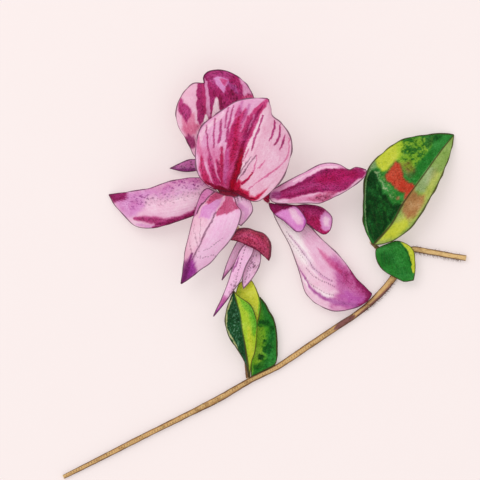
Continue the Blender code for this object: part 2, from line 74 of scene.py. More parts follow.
# Veins, relief and sway fade out over this many millimetres towards a blade's margin.
FLAT_MARGIN = 0.8
WAVE_SIZE = 1.7
SWAY_SIZE = 3.1
SWAY_HEIGHT = 0.14
# How large and how wide the shift of a mark's edge is, and the sizes of clouds and mottling, in millimetres.
SHIFT_SIZE = 0.9
SHIFT = 0.2
CLOUD_SIZE = 0.85
CLOUD_CONTRAST = 2.4
MOTTLING_SIZE = 1.9
# Pigment grains: how much they spread, how light a colour may be for dark ones, and how dark those are.
GRAIN_SPREAD = 0.45
DEEP_BELOW = 0.62
GRAIN_SHADE = 0.62
# Straight steps that stand for a stalk's middle when heights are read along it.
STALK_STEPS = 160
# Share of a stalk's length over which its direction is read, ahead and behind.
LOOK_AHEAD = 0.004
# The least that a surface stands over the floor, in millimetres.
FLOOR_GAP = 0.01
# Points closer than this, in metres, are one point.
WELD = 2e-7
# Where the colour mixing node keeps its two colours and its result.
MIX_COLOURS = (6, 7)
MIX_RESULT = 2
FULL_TURN = 2 * math.pi

Point = tuple[float, ...]
Points = tuple[Point, ...]
Array = np.ndarray
Socket = bpy.types.NodeSocket
Material = bpy.types.Material


class Seed(IntEnum):
    """Seeds of the random patterns."""

    VEIN_WOBBLE = 20
    VEIN_DRIFT = 21
    SHIFT_X = 22
    SHIFT_Y = 24
    MOTTLING = 26
    GRAINS = 27
    SPECKS = 28
    SWAY = 29
    STREAKS = 30
    FINE_STREAKS = 31
    CLOUDS = 32
    DARK_GRAINS = 33
    HAIRS = 37
    BARK_GRAIN = 48
    BARK_LUMPS = 49
    BARK_STREAKS = 50
    BARK_TONE = 51


class Tint(Enum):
    """Colours of the sprig, as a screen shows them, from 0 to 255."""

    WHITE = (254, 243, 243)
    BLUSH = (246, 214, 226)
    PALE_PINK = (238, 190, 214)
    PINK = (229, 166, 202)
    WARM_PINK = (234, 182, 204)
    ROSE = (214, 105, 152)
    CORAL_ROSE = (208, 78, 122)
    LILAC = (222, 152, 206)
    # Painted light: a paler pink than the petals' own, laid on the keel and the right wing so that they stay
    # light where shade falls on them.
    PAINTED_LIGHT_PINK = (246, 196, 228)
    BUD_PINK = (248, 198, 230)
    CERISE = (202, 62, 122)
    BRIGHT_LILAC = (224, 140, 206)
    PURPLE_PINK = (196, 104, 164)
    PURPLE = (176, 92, 158)
    VIOLET = (176, 62, 170)
    DEEP_VIOLET = (128, 30, 110)
    MAGENTA = (172, 40, 106)
    DEEP_MAGENTA = (142, 18, 82)
    RASPBERRY = (172, 18, 84)
    CRIMSON = (182, 18, 72)
    BRIGHT_CRIMSON = (196, 4, 52)
    DARK_CRIMSON = (140, 8, 46)
    WINE = (104, 14, 48)
    DUSK = (96, 48, 74)
    DUSTY_ROSE = (196, 76, 120)
    RIM = (84, 38, 62)
    LEAF_RIM = (66, 50, 30)
    HOOD_RED = (192, 62, 98)
    DEEP_GREEN = (6, 52, 16)
    DARK_GREEN = (16, 88, 28)
    BLUE_GREEN = (24, 84, 50)
    GREEN = (40, 124, 44)
    BRIGHT_GREEN = (104, 180, 44)
    GRASS = (72, 152, 36)
    LIME = (170, 200, 50)
    YELLOW = (204, 208, 58)
    GREY_GREEN = (152, 172, 120)
    PALE_GREEN = (136, 166, 82)
    MOSS = (188, 190, 90)
    SAGE = (112, 160, 132)
    OLIVE = (158, 152, 104)
    STRAW = (212, 200, 140)
    RED = (202, 62, 44)
    BRICK = (178, 112, 76)
    BARK = (192, 148, 95)
    PALE_BARK = (230, 194, 134)
    BROWN = (118, 80, 54)
    DARK_BARK = (84, 54, 40)
    PURPLE_BROWN = (122, 76, 80)
    WOOD = (232, 208, 164)
    STALK = (150, 148, 92)

    @property
    def screen(self) -> Array:
        """The colour from 0 to 1, as a screen shows it."""
        return np.array(self.value) / 255.0

    @property
    def light(self) -> tuple[float, float, float, float]:
        """The colour in linear light, with full alpha."""
        return (*to_light(self.screen), 1.0)


def to_light(screen: Array) -> Array:
    """Turns screen colours into linear light.

    Args:
        screen: Colours from 0 to 1, as a screen shows them.

    Returns:
        The same colours in linear light.
    """
    low = screen / 12.92
    high = ((np.maximum(screen, 0.0) + 0.055) / 1.055) ** 2.4
    return np.where(screen <= 0.04045, low, high)


def smooth_step(value: Array) -> Array:
    """Eases values from 0 to 1 and holds them there outside."""
    held = np.clip(value, 0.0, 1.0)
    return held * held * (3.0 - 2.0 * held)


def hermite(knots: Array, values: Array, places: Array) -> Array:
    """Reads a smooth curve through values that stand at the knots.

    Args:
        knots: Rising places of the values.
        values: One row for each knot.
        places: Where the curve is read.

    Returns:
        One row for each place.
    """
    last = len(knots) - 1
    low = np.maximum(np.arange(last + 1) - 1, 0)
    high = np.minimum(np.arange(last + 1) + 1, last)
    slopes = (values[high] - values[low]) / (knots[high] - knots[low])[:, None]
    i = np.clip(np.searchsorted(knots, places, side="right") - 1, 0, last - 1)
    span = (knots[i + 1] - knots[i])[:, None]
    f = (places - knots[i])[:, None] / span
    g = 1.0 - f
    ends = values[i] * (g * g * (1 + 2 * f)) + values[i + 1] * (f * f * (3 - 2 * f))
    return ends + (slopes[i] * (g * g * f) - slopes[i + 1] * (f * f * g)) * span


def along_route(points: Points, share: Array) -> Array:
    """Reads a smooth curve through points at shares of its length.

    Args:
        points: The points, with two or three coordinates each.
        share: Shares from 0 to 1.

    Returns:
        One row for each share.
    """
    values = np.array(points, float)
    steps = np.linalg.norm(np.diff(values, axis=0), axis=1)
    knots = np.concatenate([[0.0], np.cumsum(steps)])
    return hermite(knots, values, share * knots[-1])


def along_steps(values: Point, share: Array) -> Array:
    """Values at these shares of a smooth curve through values at even steps."""
    column = np.array(values, float)[:, None]
    return hermite(np.arange(len(values), dtype=float), column, share * (len(values) - 1))[:, 0]


def length_of(points: Points) -> float:
    """Length of the straight steps between the points."""
    return np.linalg.norm(np.diff(np.array(points, float), axis=0), axis=1).sum()


def path_distance(x: Array, y: Array, path: Array) -> tuple[Array, Array]:
    """Distance from points to a path of straight steps.

    Args:
        x: Points' X in plan.
        y: Points' Y in plan.
        path: The path's corners, one row each.

    Returns:
        The distances, and the share of the path's steps at the nearest place.
    """
    nearest = np.full(x.shape, np.inf)
    share = np.zeros(x.shape)
    for i, (a, b) in enumerate(zip(path, path[1:])):
        step = b - a
        run = (x - a[0]) * step[0] + (y - a[1]) * step[1]
        t = np.clip(run / max(step @ step, 1e-12), 0.0, 1.0)
        distance = np.hypot(x - a[0] - t * step[0], y - a[1] - t * step[1])
        closer = distance < nearest
        nearest = np.where(closer, distance, nearest)
        share = np.where(closer, (i + t) / (len(path) - 1), share)
    return nearest, share


def laid_over(colour: Array, tint: Tint, share: Array) -> Array:
    """Colours with a tint laid over them by a share for each row."""
    return colour * (1 - share[:, None]) + tint.screen * share[:, None]


@dataclass(frozen=True)
class Mottle:
    """Smooth seeded unevenness over the plan, from -1 to 1."""

    size: float
    seed: int
    cells: int = 61

    def at(self, x: Array, y: Array) -> Array:
        """Reads the unevenness at points in plan.

        Args:
            x: Points' X.
            y: Points' Y.

        Returns:
            One value for each point.
        """
        lattice = np.random.default_rng(self.seed).uniform(-1.0, 1.0, (self.cells, self.cells))
        i, fx = np.divmod(x / self.size, 1.0)
        j, fy = np.divmod(y / self.size, 1.0)
        fx, fy = smooth_step(fx), smooth_step(fy)
        i, j = i.astype(int) % self.cells, j.astype(int) % self.cells
        i2, j2 = (i + 1) % self.cells, (j + 1) % self.cells
        lower = lattice[i, j] * (1 - fx) + lattice[i2, j] * fx
        upper = lattice[i, j2] * (1 - fx) + lattice[i2, j2] * fx
        return lower * (1 - fy) + upper * fy


def fractal(x: Array, y: Array, size: float, seed: int) -> Array:
    """Adds up unevenness of four sizes, each half the one before.

    Args:
        x: Points' X in plan.
        y: Points' Y in plan.
        size: The largest size in millimetres.
        seed: Picks the pattern.

    Returns:
        Values from about -1 to 1.
    """
    parts = (Mottle(size / 2**i, seed + 50 * i).at(x + 7 * i, y) / 1.6**i for i in range(4))
    return sum(parts) / 1.7


def speckles(x: Array, y: Array, size: float) -> Array:
    """Small round specks at seeded places, one or none in each square of this size.

    Args:
        x: Points' X in plan.
        y: Points' Y in plan.
        size: A square's side in millimetres.

    Returns:
        Values from 0 to 1.
    """
    spots = np.random.default_rng(Seed.SPECKS).uniform(0.0, 1.0, (3, SPECK_SQUARES, SPECK_SQUARES))
    i0, j0 = np.floor(x / size).astype(int), np.floor(y / size).astype(int)
    found = np.zeros(x.shape)
    for di in (-1, 0, 1):
        for dj in (-1, 0, 1):
            i, j = i0 + di, j0 + dj
            px, py, pr = spots[:, i % SPECK_SQUARES, j % SPECK_SQUARES]
            away = np.hypot(x / size - i - px, y / size - j - py)
            reach = SPECK_RADIUS + SPECK_SPREAD * pr - away
            found = np.maximum(found, smooth_step(reach / SPECK_EDGE))
    return found


@dataclass(frozen=True)
class Mark:
    """Colour and relief laid on a piece. Strength goes from 0 to 1, and relief is in millimetres."""

    tint: Tint
    points: Points
    strength: float = 1.0
    soft: float = 0.3
    relief: float = 0.0
    specks: float = 0.0
    speck_size: float = 0.62
    cloud: float = 0.0

    def cover(self, x: Array, y: Array) -> Array:
        """How much of the mark lies on each point, from 0 to 1."""
        raise NotImplementedError


@dataclass(frozen=True)
class Stroke(Mark):
    """A band along a smooth route, with its width at even steps."""

    width: Point = (0.3,)
    steps: int = 18

    def cover(self, x: Array, y: Array) -> Array:
        """Reads the band.

        Args:
            x: Points' X in plan.
            y: Points' Y in plan.

        Returns:
            How much of it lies on each point, from 0 to 1.
        """
        path = along_route(self.points, np.linspace(0.0, 1.0, self.steps))
        distance, share = path_distance(x, y, path)
        half = 0.5 * np.interp(share, np.linspace(0.0, 1.0, len(self.width)), self.width)
        fade = np.maximum(self.soft * half * 2, STROKE_EDGE)
        return smooth_step((half + 0.5 * fade - distance) / fade)


@dataclass(frozen=True)
class Patch(Mark):
    """An area inside an outline."""

    def cover(self, x: Array, y: Array) -> Array:
        """Reads the area.

        Args:
            x: Points' X in plan.
            y: Points' Y in plan.

        Returns:
            How much of it lies on each point, from 0 to 1.
        """
        ring = np.array((*self.points, self.points[0]), float)
        distance, _ = path_distance(x, y, ring)
        inside = np.zeros(x.shape, bool)
        for a, b in zip(ring, ring[1:]):
            crosses = (a[1] > y) != (b[1] > y)
            rise = b[1] - a[1] if b[1] != a[1] else 1.0
            inside ^= crosses & (x < a[0] + (b[0] - a[0]) * (y - a[1]) / rise)
        return smooth_step(0.5 + np.where(inside, distance, -distance) / self.soft)


@dataclass(frozen=True)
class Dots(Mark):
    """A row of small round dots at even steps along a smooth route."""

    size: float = 0.3
    count: int = 12

    def cover(self, x: Array, y: Array) -> Array:
        """Reads the row of dots.

        Args:
            x: Points' X in plan.
            y: Points' Y in plan.

        Returns:
            How much of a dot lies on each point, from 0 to 1.
        """
        spots = along_route(self.points, np.linspace(0.0, 1.0, self.count))
        away = np.min(np.hypot(x[:, None] - spots[:, 0], y[:, None] - spots[:, 1]), axis=1)
        return smooth_step(0.5 + (0.5 * self.size - away) / DOT_EDGE)


Marks = tuple[Mark, ...]


class Graph:
    """Short ways to add and join the nodes of one material."""

    def __init__(self, name: str) -> None:
        """Starts a material with one Principled shader.

        Args:
            name: The material's name.
        """
        self.material = bpy.data.materials.new(name)
        self.material.use_nodes = True
        self.tree = self.material.node_tree
        self.shader = self.tree.nodes["Principled BSDF"]

    def add(self, kind: str, **inputs: object) -> bpy.types.Node:
        """Adds a node and fills its inputs.

        Args:
            kind: The node's type name.
            inputs: Input names, with spaces as underscores, and a value or an output socket for each.

        Returns:
            The node.
        """
        node = self.tree.nodes.new(kind)
        for key, value in inputs.items():
            self.feed(node.inputs[key.replace("_", " ")], value)
        return node

    def feed(self, socket: Socket, value: object) -> None:
        """Links an output to a socket, or sets its value.

        Args:
            socket: The input.
            value: An output socket or a value.
        """
        if isinstance(value, Socket):
            self.tree.links.new(value, socket)
        else:
            socket.default_value = value

    def attribute(self, name: str, output: str = "Fac") -> Socket:
        """Reads one of the mesh's own attributes.

        Args:
            name: The attribute.
            output: The node's output to use.

        Returns:
            That output.
        """
        node = self.add("ShaderNodeAttribute")
        node.attribute_name = name
        return node.outputs[output]

    def skin(self) -> tuple[Socket, Socket, Socket]:
        """The paint, the distance to the margin and the veins that a piece keeps on its points."""
        return self.attribute("paint", "Color"), self.attribute("margin"), self.attribute("vein")

    def place(self, scale: Point = (1.0, 1.0, 1.0), surface: bool = False) -> Socket:
        """Pattern coordinates: metres on the object, or the blade's own map, stretched by the scale."""
        source = self.add("ShaderNodeTexCoord").outputs["UV" if surface else "Object"]
        return self.add("ShaderNodeMapping", Vector=source, Scale=scale).outputs["Vector"]

    def noise(self, scale: float, where: Socket, detail: float = 3.0) -> Socket:
        """Smooth noise from 0 to 1."""
        return self.add("ShaderNodeTexNoise", Vector=where, Scale=scale, Detail=detail).outputs["Fac"]

    def cells(self, scale: float, where: Socket, edges: bool = False) -> Socket:
        """Reads a pattern of cells.

        Args:
            scale: How fine it is.
            where: Its coordinates.
            edges: Whether the distance is to the nearest edge, in place of the nearest middle.

        Returns:
            The distance.
        """
        node = self.add("ShaderNodeTexVoronoi", Vector=where, Scale=scale)
        node.feature = "DISTANCE_TO_EDGE" if edges else "F1"
        return node.outputs["Distance"]

    def fit(self, value: Socket, span: Point, into: Point) -> Socket:
        """Maps a span of values smoothly into another.

        Args:
            value: The values.
            span: Where they start and end.
            into: What those two become.

        Returns:
            The mapped values.
        """
        node = self.add("ShaderNodeMapRange", Value=value, From_Min=span[0], From_Max=span[1])
        node.interpolation_type = "SMOOTHSTEP"
        self.feed(node.inputs["To Min"], into[0])
        self.feed(node.inputs["To Max"], into[1])
        return node.outputs["Result"]

    def mix(self, share: object, a: object, b: object, kind: str = "MIX") -> Socket:
        """Lays one colour over another.

        Args:
            share: How much of the second shows.
            a: The first colour.
            b: The second colour.
            kind: How they join.

        Returns:
            The colour.
        """
        node = self.add("ShaderNodeMix")
        node.data_type = "RGBA"
        node.blend_type = kind
        self.feed(node.inputs["Factor"], share)
        for socket, colour in zip(MIX_COLOURS, (a, b)):
            self.feed(node.inputs[socket], colour)
        return node.outputs[MIX_RESULT]

    def shade(self, colour: Socket, by: Point) -> Socket:
        """The colour multiplied by red, green and blue shares."""
        return self.mix(1.0, colour, (*by, 1.0), "MULTIPLY")

    def blend(self, colour: object, over: object, mask: Socket, span: Point, into: Point) -> Socket:
        """Lays a colour over another where a mask's span of values, mapped into shares, says."""
        return self.mix(self.fit(mask, span, into), colour, over)

    def bump(self, height: Socket, depth: float, before: Optional[Socket] = None) -> Socket:
        """Turns heights into a normal.

        Args:
            height: Heights from 0 to 1.
            depth: The full height in millimetres.
            before: A normal that it is added to.

        Returns:
            The normal.
        """
        node = self.add("ShaderNodeBump", Height=height, Distance=depth * MM, Strength=1.0)
        if before is not None:
            self.feed(node.inputs["Normal"], before)
        return node.outputs["Normal"]

    def finish(self, colour: Socket, roughness: object, normal: Socket, **values: object) -> Material:
        """Fills the shader.

        Args:
            colour: The base colour.
            roughness: The roughness.
            normal: The normal.
            values: Other inputs of the shader, with spaces as underscores.

        Returns:
            The material.
        """
        inputs = {"Base_Color": colour, "Roughness": roughness, "Normal": normal, **values}
        for key, value in inputs.items():
            self.feed(self.shader.inputs[key.replace("_", " ")], value)
        return self.material


def dress(piece: bpy.types.Object, node: str) -> bpy.types.Object:
    """Ties a finished piece to its solid.

    Args:
        piece: The piece.
        node: The solid that it stands for.

    Returns:
        The piece.
    """
    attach(piece, "root")
    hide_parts(node)
    return piece


def link_mesh(name: str, shape: bmesh.types.BMesh, material: Material) -> bpy.types.Object:
    """Makes a smoothly shaded object from a bmesh, and frees the bmesh.

    Args:
        name: The object's name.
        shape: The bmesh.
        material: The object's finish.

    Returns:
        The object.
    """
    mesh = bpy.data.meshes.new(name)
    shape.to_mesh(mesh)
    shape.free()
    mesh.materials.append(material)
    mesh.shade_smooth()
    piece = bpy.data.objects.new(name, mesh)
    bpy.context.scene.collection.objects.link(piece)
    return piece


def store(mesh: bpy.types.Mesh, name: str, values: Array) -> None:
    """Keeps one value, or one screen colour, for each point of a mesh.

    Args:
        mesh: The mesh.
        name: The attribute's name.
        values: The values, or rows of red, green and blue.
    """
    if values.ndim == 1:
        layer = mesh.attributes.new(name, "FLOAT", "POINT")
        layer.data.foreach_set("value", values.astype(np.float32))
        return
    layer = mesh.attributes.new(name, "FLOAT_COLOR", "POINT")
    full = np.hstack([to_light(values), np.ones((len(values), 1))])
    layer.data.foreach_set("color", full.astype(np.float32).ravel())


def store_skin(mesh: bpy.types.Mesh, paint: Array, margin: Array, vein: Array) -> None:
    """Keeps what the finishes read: the paint, the distance to the margin in millimetres and the veins."""
    for name, values in (("paint", paint), ("margin", margin), ("vein", vein)):
        store(mesh, name, values)


def store_map(mesh: bpy.types.Mesh, u: Array, v: Array) -> None:
    """Keeps a UV map from one pair of values for each point.

    Args:
        mesh: The mesh.
        u: First values.
        v: Second values.
    """
    loops = np.empty(len(mesh.loops), np.int32)
    mesh.loops.foreach_get("vertex_index", loops)
    layer = mesh.uv_layers.new(name="UVMap")
    layer.data.foreach_set("uv", np.column_stack([u[loops], v[loops]]).astype(np.float32).ravel())


def read(data: bpy.types.bpy_prop_collection, name: str, width: int = 1) -> Array:
    """Reads one property of every item.

    Args:
        data: The items.
        name: The property.
        width: How many numbers an item has.

    Returns:
        One number, or one row, for each item.
    """
    values = np.empty(len(data) * width, np.float32)
    data.foreach_get(name, values)
    return values.astype(float).reshape(-1, width) if width > 1 else values.astype(float)


def to_world(x: Array, y: Array, z: Array) -> Array:
    """Plan millimetres as metres about the sprig's middle, one row for each point."""
    return np.column_stack([x - PLAN_CENTRE[0], y - PLAN_CENTRE[1], z]) * MM


def turn_to(way: Vector) -> Matrix:
    """The turn that points up along a way."""
    return Vector((0, 0, 1)).rotation_difference(way).to_matrix()


class VeinKind(Enum):
    """How a blade's veins run."""

    FAN = "from the base towards the tip"
    SIDE = "from the rib towards both edges"


@dataclass(frozen=True)
class Veins:
    """Veins of a blade. Fan veins stand at shares of the half width, side veins at millimetres of rib."""

    kind: VeinKind = VeinKind.FAN
    spacing: float = 0.09
    width: float = 0.3
    relief: float = 0.05
    lean: float = 0.9
    rib: float = 0.0
    wobble: float = 0.12
    wobble_size: float = 2.4
    forks_from: float = 0.45
    side_strength: float = 0.7

    def cover(self, sheet: "Sheet") -> Array:
        """How much of a vein stands on each point.

        Args:
            sheet: The blade's points.

        Returns:
            Values from 0 to 1.
        """
        width = np.abs(sheet.across)
        wobble = Mottle(self.wobble_size, Seed.VEIN_WOBBLE).at(sheet.x, sheet.y) * self.wobble
        if self.kind is VeinKind.FAN:
            drift = Mottle(1.0, Seed.VEIN_DRIFT).at(sheet.across * 5 + 20, sheet.along * 3)
            phase = width / self.spacing + wobble * 2 + drift * 0.45
            forks = smooth_step((sheet.along - self.forks_from) / 0.2)
            lines = self.line(phase, sheet.half * self.spacing)
            return np.maximum(lines, forks * self.line(phase + 0.5, sheet.half * self.spacing))
        run = sheet.along * sheet.length - self.lean * sheet.half * width**1.2
        stagger = np.where(sheet.across < 0, 0.5, 0.0)
        lines = self.line(run / self.spacing + stagger + wobble, self.spacing)
        lines *= smooth_step((1.0 - width) / 0.25) * smooth_step((1.0 - sheet.along) / 0.12)
        from_rib = width * sheet.half
        middle = smooth_step((self.rib * (1.3 - 0.6 * sheet.along) - from_rib) / 0.18 + 0.5)
        return np.maximum(self.side_strength * lines, middle)

    def line(self, phase: Array, span: object) -> Array:
        """A narrow ridge at every whole phase, where one phase is this span in millimetres."""
        away = np.abs(phase - np.round(phase)) * span
        return smooth_step((self.width - away) / self.width)


@dataclass(frozen=True, kw_only=True)
class Blade:
    """A petal or leaflet, thin and closed, on a fine grid with about one point each step.

    Heights stand at even steps from base to tip, and a rise is how far an edge stands over the rib.
    """

    node: str
    slot: str
    base: Point
    tip: Point
    left: Points
    right: Points
    rib: Points
    heights: Point
    left_rise: Point
    right_rise: Point
    ground: Tint
    right_ground: Optional[Tint] = None
    crown: float = 0.0
    bend: float = 2.0
    frill: float = 0.12
    feather: float = 0.3
    mottling: float = 0.22
    pepper: float = 0.2
    seam: float = 1.5
    thickness: float = PETAL_THICKNESS
    step: float = 0.16
    veins: Veins = Veins()
    marks: Marks = ()

    def build(self, material: Material) -> bpy.types.Object:
        """Moves a fine grid to the sheet, paints it, raises its veins and gives it its thickness.

        Args:
            material: Its finish.

        Returns:
            The finished piece.
        """
        rows = np.linspace(0, 1, COARSE_ROWS)
        coarse = Sheet(self, np.repeat([-1.0, 1.0], COARSE_ROWS), np.tile(rows, 2))
        columns = max(8, round(2 * float(coarse.half.max()) / self.step))
        rows = max(8, round(coarse.length / self.step))
        shape = bmesh.new()
        bmesh.ops.create_grid(shape, x_segments=columns, y_segments=rows, size=1.0)
        piece = link_mesh(self.node + "_form", shape, material)
        mesh = piece.data
        grid = read(mesh.vertices, "co", 3)
        sheet = Sheet(self, grid[:, 0], (grid[:, 1] + 1) / 2)
        painter = Painter(self, sheet)
        painter.paint()
        veins = self.veins.cover(sheet)
        inside = smooth_step(sheet.margin / FLAT_MARGIN)
        sway = Mottle(SWAY_SIZE, Seed.SWAY).at(sheet.x, sheet.y) * SWAY_HEIGHT * sheet.width
        z = sheet.z + (self.veins.relief * veins + painter.relief) * inside + sway * inside
        z = np.maximum(z, self.thickness * 0.5 + FLOOR_GAP)
        mesh.vertices.foreach_set("co", to_world(sheet.x, sheet.y, z).astype(np.float32).ravel())
        store_skin(mesh, painter.colour, sheet.margin, veins)
        store_map(mesh, sheet.across * 0.5 + 0.5, sheet.along)
        mesh.update()
        solid = piece.modifiers.new("thickness", "SOLIDIFY")
        solid.thickness = self.thickness * MM
        solid.offset = 0.0
        solid.use_even_offset = False
        return dress(piece, self.node)


@dataclass(frozen=True)
class SideVeins(Veins):
    """A leaflet's veins, from its rib towards both edges."""

    kind: VeinKind = VeinKind.SIDE
    width: float = 0.2


@dataclass(frozen=True, kw_only=True)
class Leaflet(Blade):
    """A leaflet."""

    slot: str = "leaflet"
    thickness: float = LEAFLET_THICKNESS


class Sheet:
    """A blade's points as arrays, in millimetres in plan."""

    def __init__(self, blade: Blade, across: Array, along: Array) -> None:
        """Places the points.

        Args:
            blade: The blade.
            across: From -1 at the left edge to 1 at the right.
            along: From 0 at the base to 1 at the tip.
        """
        self.across, self.along = across, along
        left_route = (blade.base, *blade.left, blade.tip)
        right_route = (blade.base, *blade.right, blade.tip)
        rib_route = (blade.base, *blade.rib, blade.tip)
        share = self.cut(along)
        self.width = np.abs(across)
        is_left = across < 0
        rib = along_route(rib_route, share)
        edge = np.where(is_left[:, None], along_route(left_route, share), along_route(right_route, share))
        self.half = np.linalg.norm(edge - rib, axis=1)
        ahead = along_route(rib_route, np.minimum(share + 0.02, 1.0)) - rib
        self.ahead = ahead / np.maximum(np.linalg.norm(ahead, axis=1), 1e-6)[:, None]
        wave = Mottle(WAVE_SIZE, NAME_SEED + len(blade.node)).at(edge[:, 0], edge[:, 1])
        reach = self.width + wave * blade.frill * self.width**6 / np.maximum(self.half, 1.0)
        self.x, self.y = (rib + (edge - rib) * reach[:, None]).T
        rise = np.where(is_left, along_steps(blade.left_rise, share), along_steps(blade.right_rise, share))
        self.z = along_steps(blade.heights, share) + rise * self.width**blade.bend
        self.z += blade.crown * 4 * self.width * (1 - self.width) * np.sin(math.pi * share)
        steps = np.linspace(0.0, 1.0, EDGE_STEPS)
        self.length = float(length_of(along_route(rib_route, steps)))
        going = along_route(left_route, self.cut(steps))
        coming = along_route(right_route, self.cut(steps))[::-1]
        self.margin, _ = path_distance(self.x, self.y, np.vstack([going, coming, going[:1]]))

    @staticmethod
    def cut(along: Array) -> Array:
        """Shares of the routes' full length, between the cut ends."""
        return BASE_CUT + (1 - TIP_CUT - BASE_CUT) * along


class Painter:
    """Lays a blade's ground, marks and unevenness on its points."""

    def __init__(self, blade: Blade, sheet: Sheet) -> None:
        """Starts from the blade's ground.

        Args:
            blade: The blade.
            sheet: Its points.
        """
        self.blade = blade
        left = blade.ground.screen
        right = (blade.right_ground or blade.ground).screen
        share = smooth_step(0.5 + sheet.across * blade.seam)[:, None]
        self.colour = left * (1 - share) + right * share
        self.relief = np.zeros(len(sheet.x))
        # Marks are read at shifted places, so that their edges run unevenly, as pigment does.
        shift_x = fractal(sheet.x, sheet.y, SHIFT_SIZE, Seed.SHIFT_X)
        shift_y = fractal(sheet.x, sheet.y, SHIFT_SIZE, Seed.SHIFT_Y)
        streaks = Mottle(1.0, Seed.STREAKS).at(sheet.across * 13 + 30, sheet.along * 2.5)
        fine = Mottle(1.0, Seed.FINE_STREAKS).at(sheet.across * 31 + 40, sheet.along * 4)
        run = blade.feather * (streaks + 0.4 * fine)
        self.x = sheet.x + SHIFT * shift_x + run * sheet.ahead[:, 0]
        self.y = sheet.y + SHIFT * shift_y + run * sheet.ahead[:, 1]
        clouds = fractal(sheet.x, sheet.y, CLOUD_SIZE, Seed.CLOUDS)
        self.clouds = smooth_step(0.5 + CLOUD_CONTRAST * clouds)

    def lay(self, mark: Mark) -> None:
        """Adds one mark's colour and relief.

        Args:
            mark: The mark.
        """
        cover = mark.cover(self.x, self.y)
        self.relief += mark.relief * cover
        if mark.specks > 0:
            cover = cover * (1 - mark.specks + mark.specks * speckles(self.x, self.y, mark.speck_size))
        if mark.cloud > 0:
            cover = cover * (1 - mark.cloud + mark.cloud * self.clouds)
        self.colour = laid_over(self.colour, mark.tint, cover * mark.strength)

    def paint(self) -> None:
        """Lays all marks, then an even mottling and fine dark grains on the deep colours."""
        for mark in self.blade.marks:
            self.lay(mark)
        broad = fractal(self.x, self.y, MOTTLING_SIZE, Seed.MOTTLING)
        grains = np.random.default_rng(Seed.GRAINS).normal(0.0, GRAIN_SPREAD, len(self.x))
        density = 1 + self.blade.mottling * (broad + grains)
        self.colour = np.clip(self.colour, 0.004, 1.0) ** density[:, None]
        deep = smooth_step((DEEP_BELOW - self.colour.mean(axis=1)) / 0.25)
        chance = np.random.default_rng(Seed.DARK_GRAINS).uniform(0, 1, len(self.x))
        dotted = chance < self.blade.pepper * deep
        self.colour = np.clip(self.colour * np.where(dotted, GRAIN_SHADE, 1.0)[:, None], 0.0, 1.0)


@dataclass(frozen=True)
class HairCoat:
    """Short hairs over part of a surface, each a thin three-sided cone. Sizes are in millimetres."""

    count: int
    length: Point
    radius: float = 0.022
    tip_share: float = 0.15
    lean: float = 0.5
    stray: float = 0.25
    clearance: float = 0.05
    tint: Tint = Tint.STRAW

    def grow(self, shape: bmesh.types.BMesh, roots: Array, normals: Array, ahead: Array) -> None:
        """Adds one hair at each root.

        Args:
            shape: The mesh that receives the hairs.
            roots: Places in metres.
            normals: Directions out of the surface.
            ahead: Directions along the surface, which the hairs lean towards.
        """
        rng = np.random.default_rng(Seed.HAIRS)
        kind = shape.verts.layers.float["hair"]
        for root, normal, front in zip(roots, normals, ahead):
            length = rng.uniform(*self.length) * MM
            stray = rng.normal(0.0, self.stray, 3)
            way = Vector(normal + front * self.lean + stray).normalized()
            if root[2] + way.z * length < self.clearance * MM:
                way.z = 0.1
                way.normalize()
            middle = Vector(root) + way * (length * 0.46)
            cone = bmesh.ops.create_cone(
                shape,
                cap_ends=True,
                segments=3,
                radius1=self.radius * MM,
                radius2=self.radius * MM * self.tip_share,
                depth=length,
                matrix=Matrix.Translation(middle) @ turn_to(way).to_4x4(),
            )
            for vertex in cone["verts"]:
                vertex[kind] = 1.0


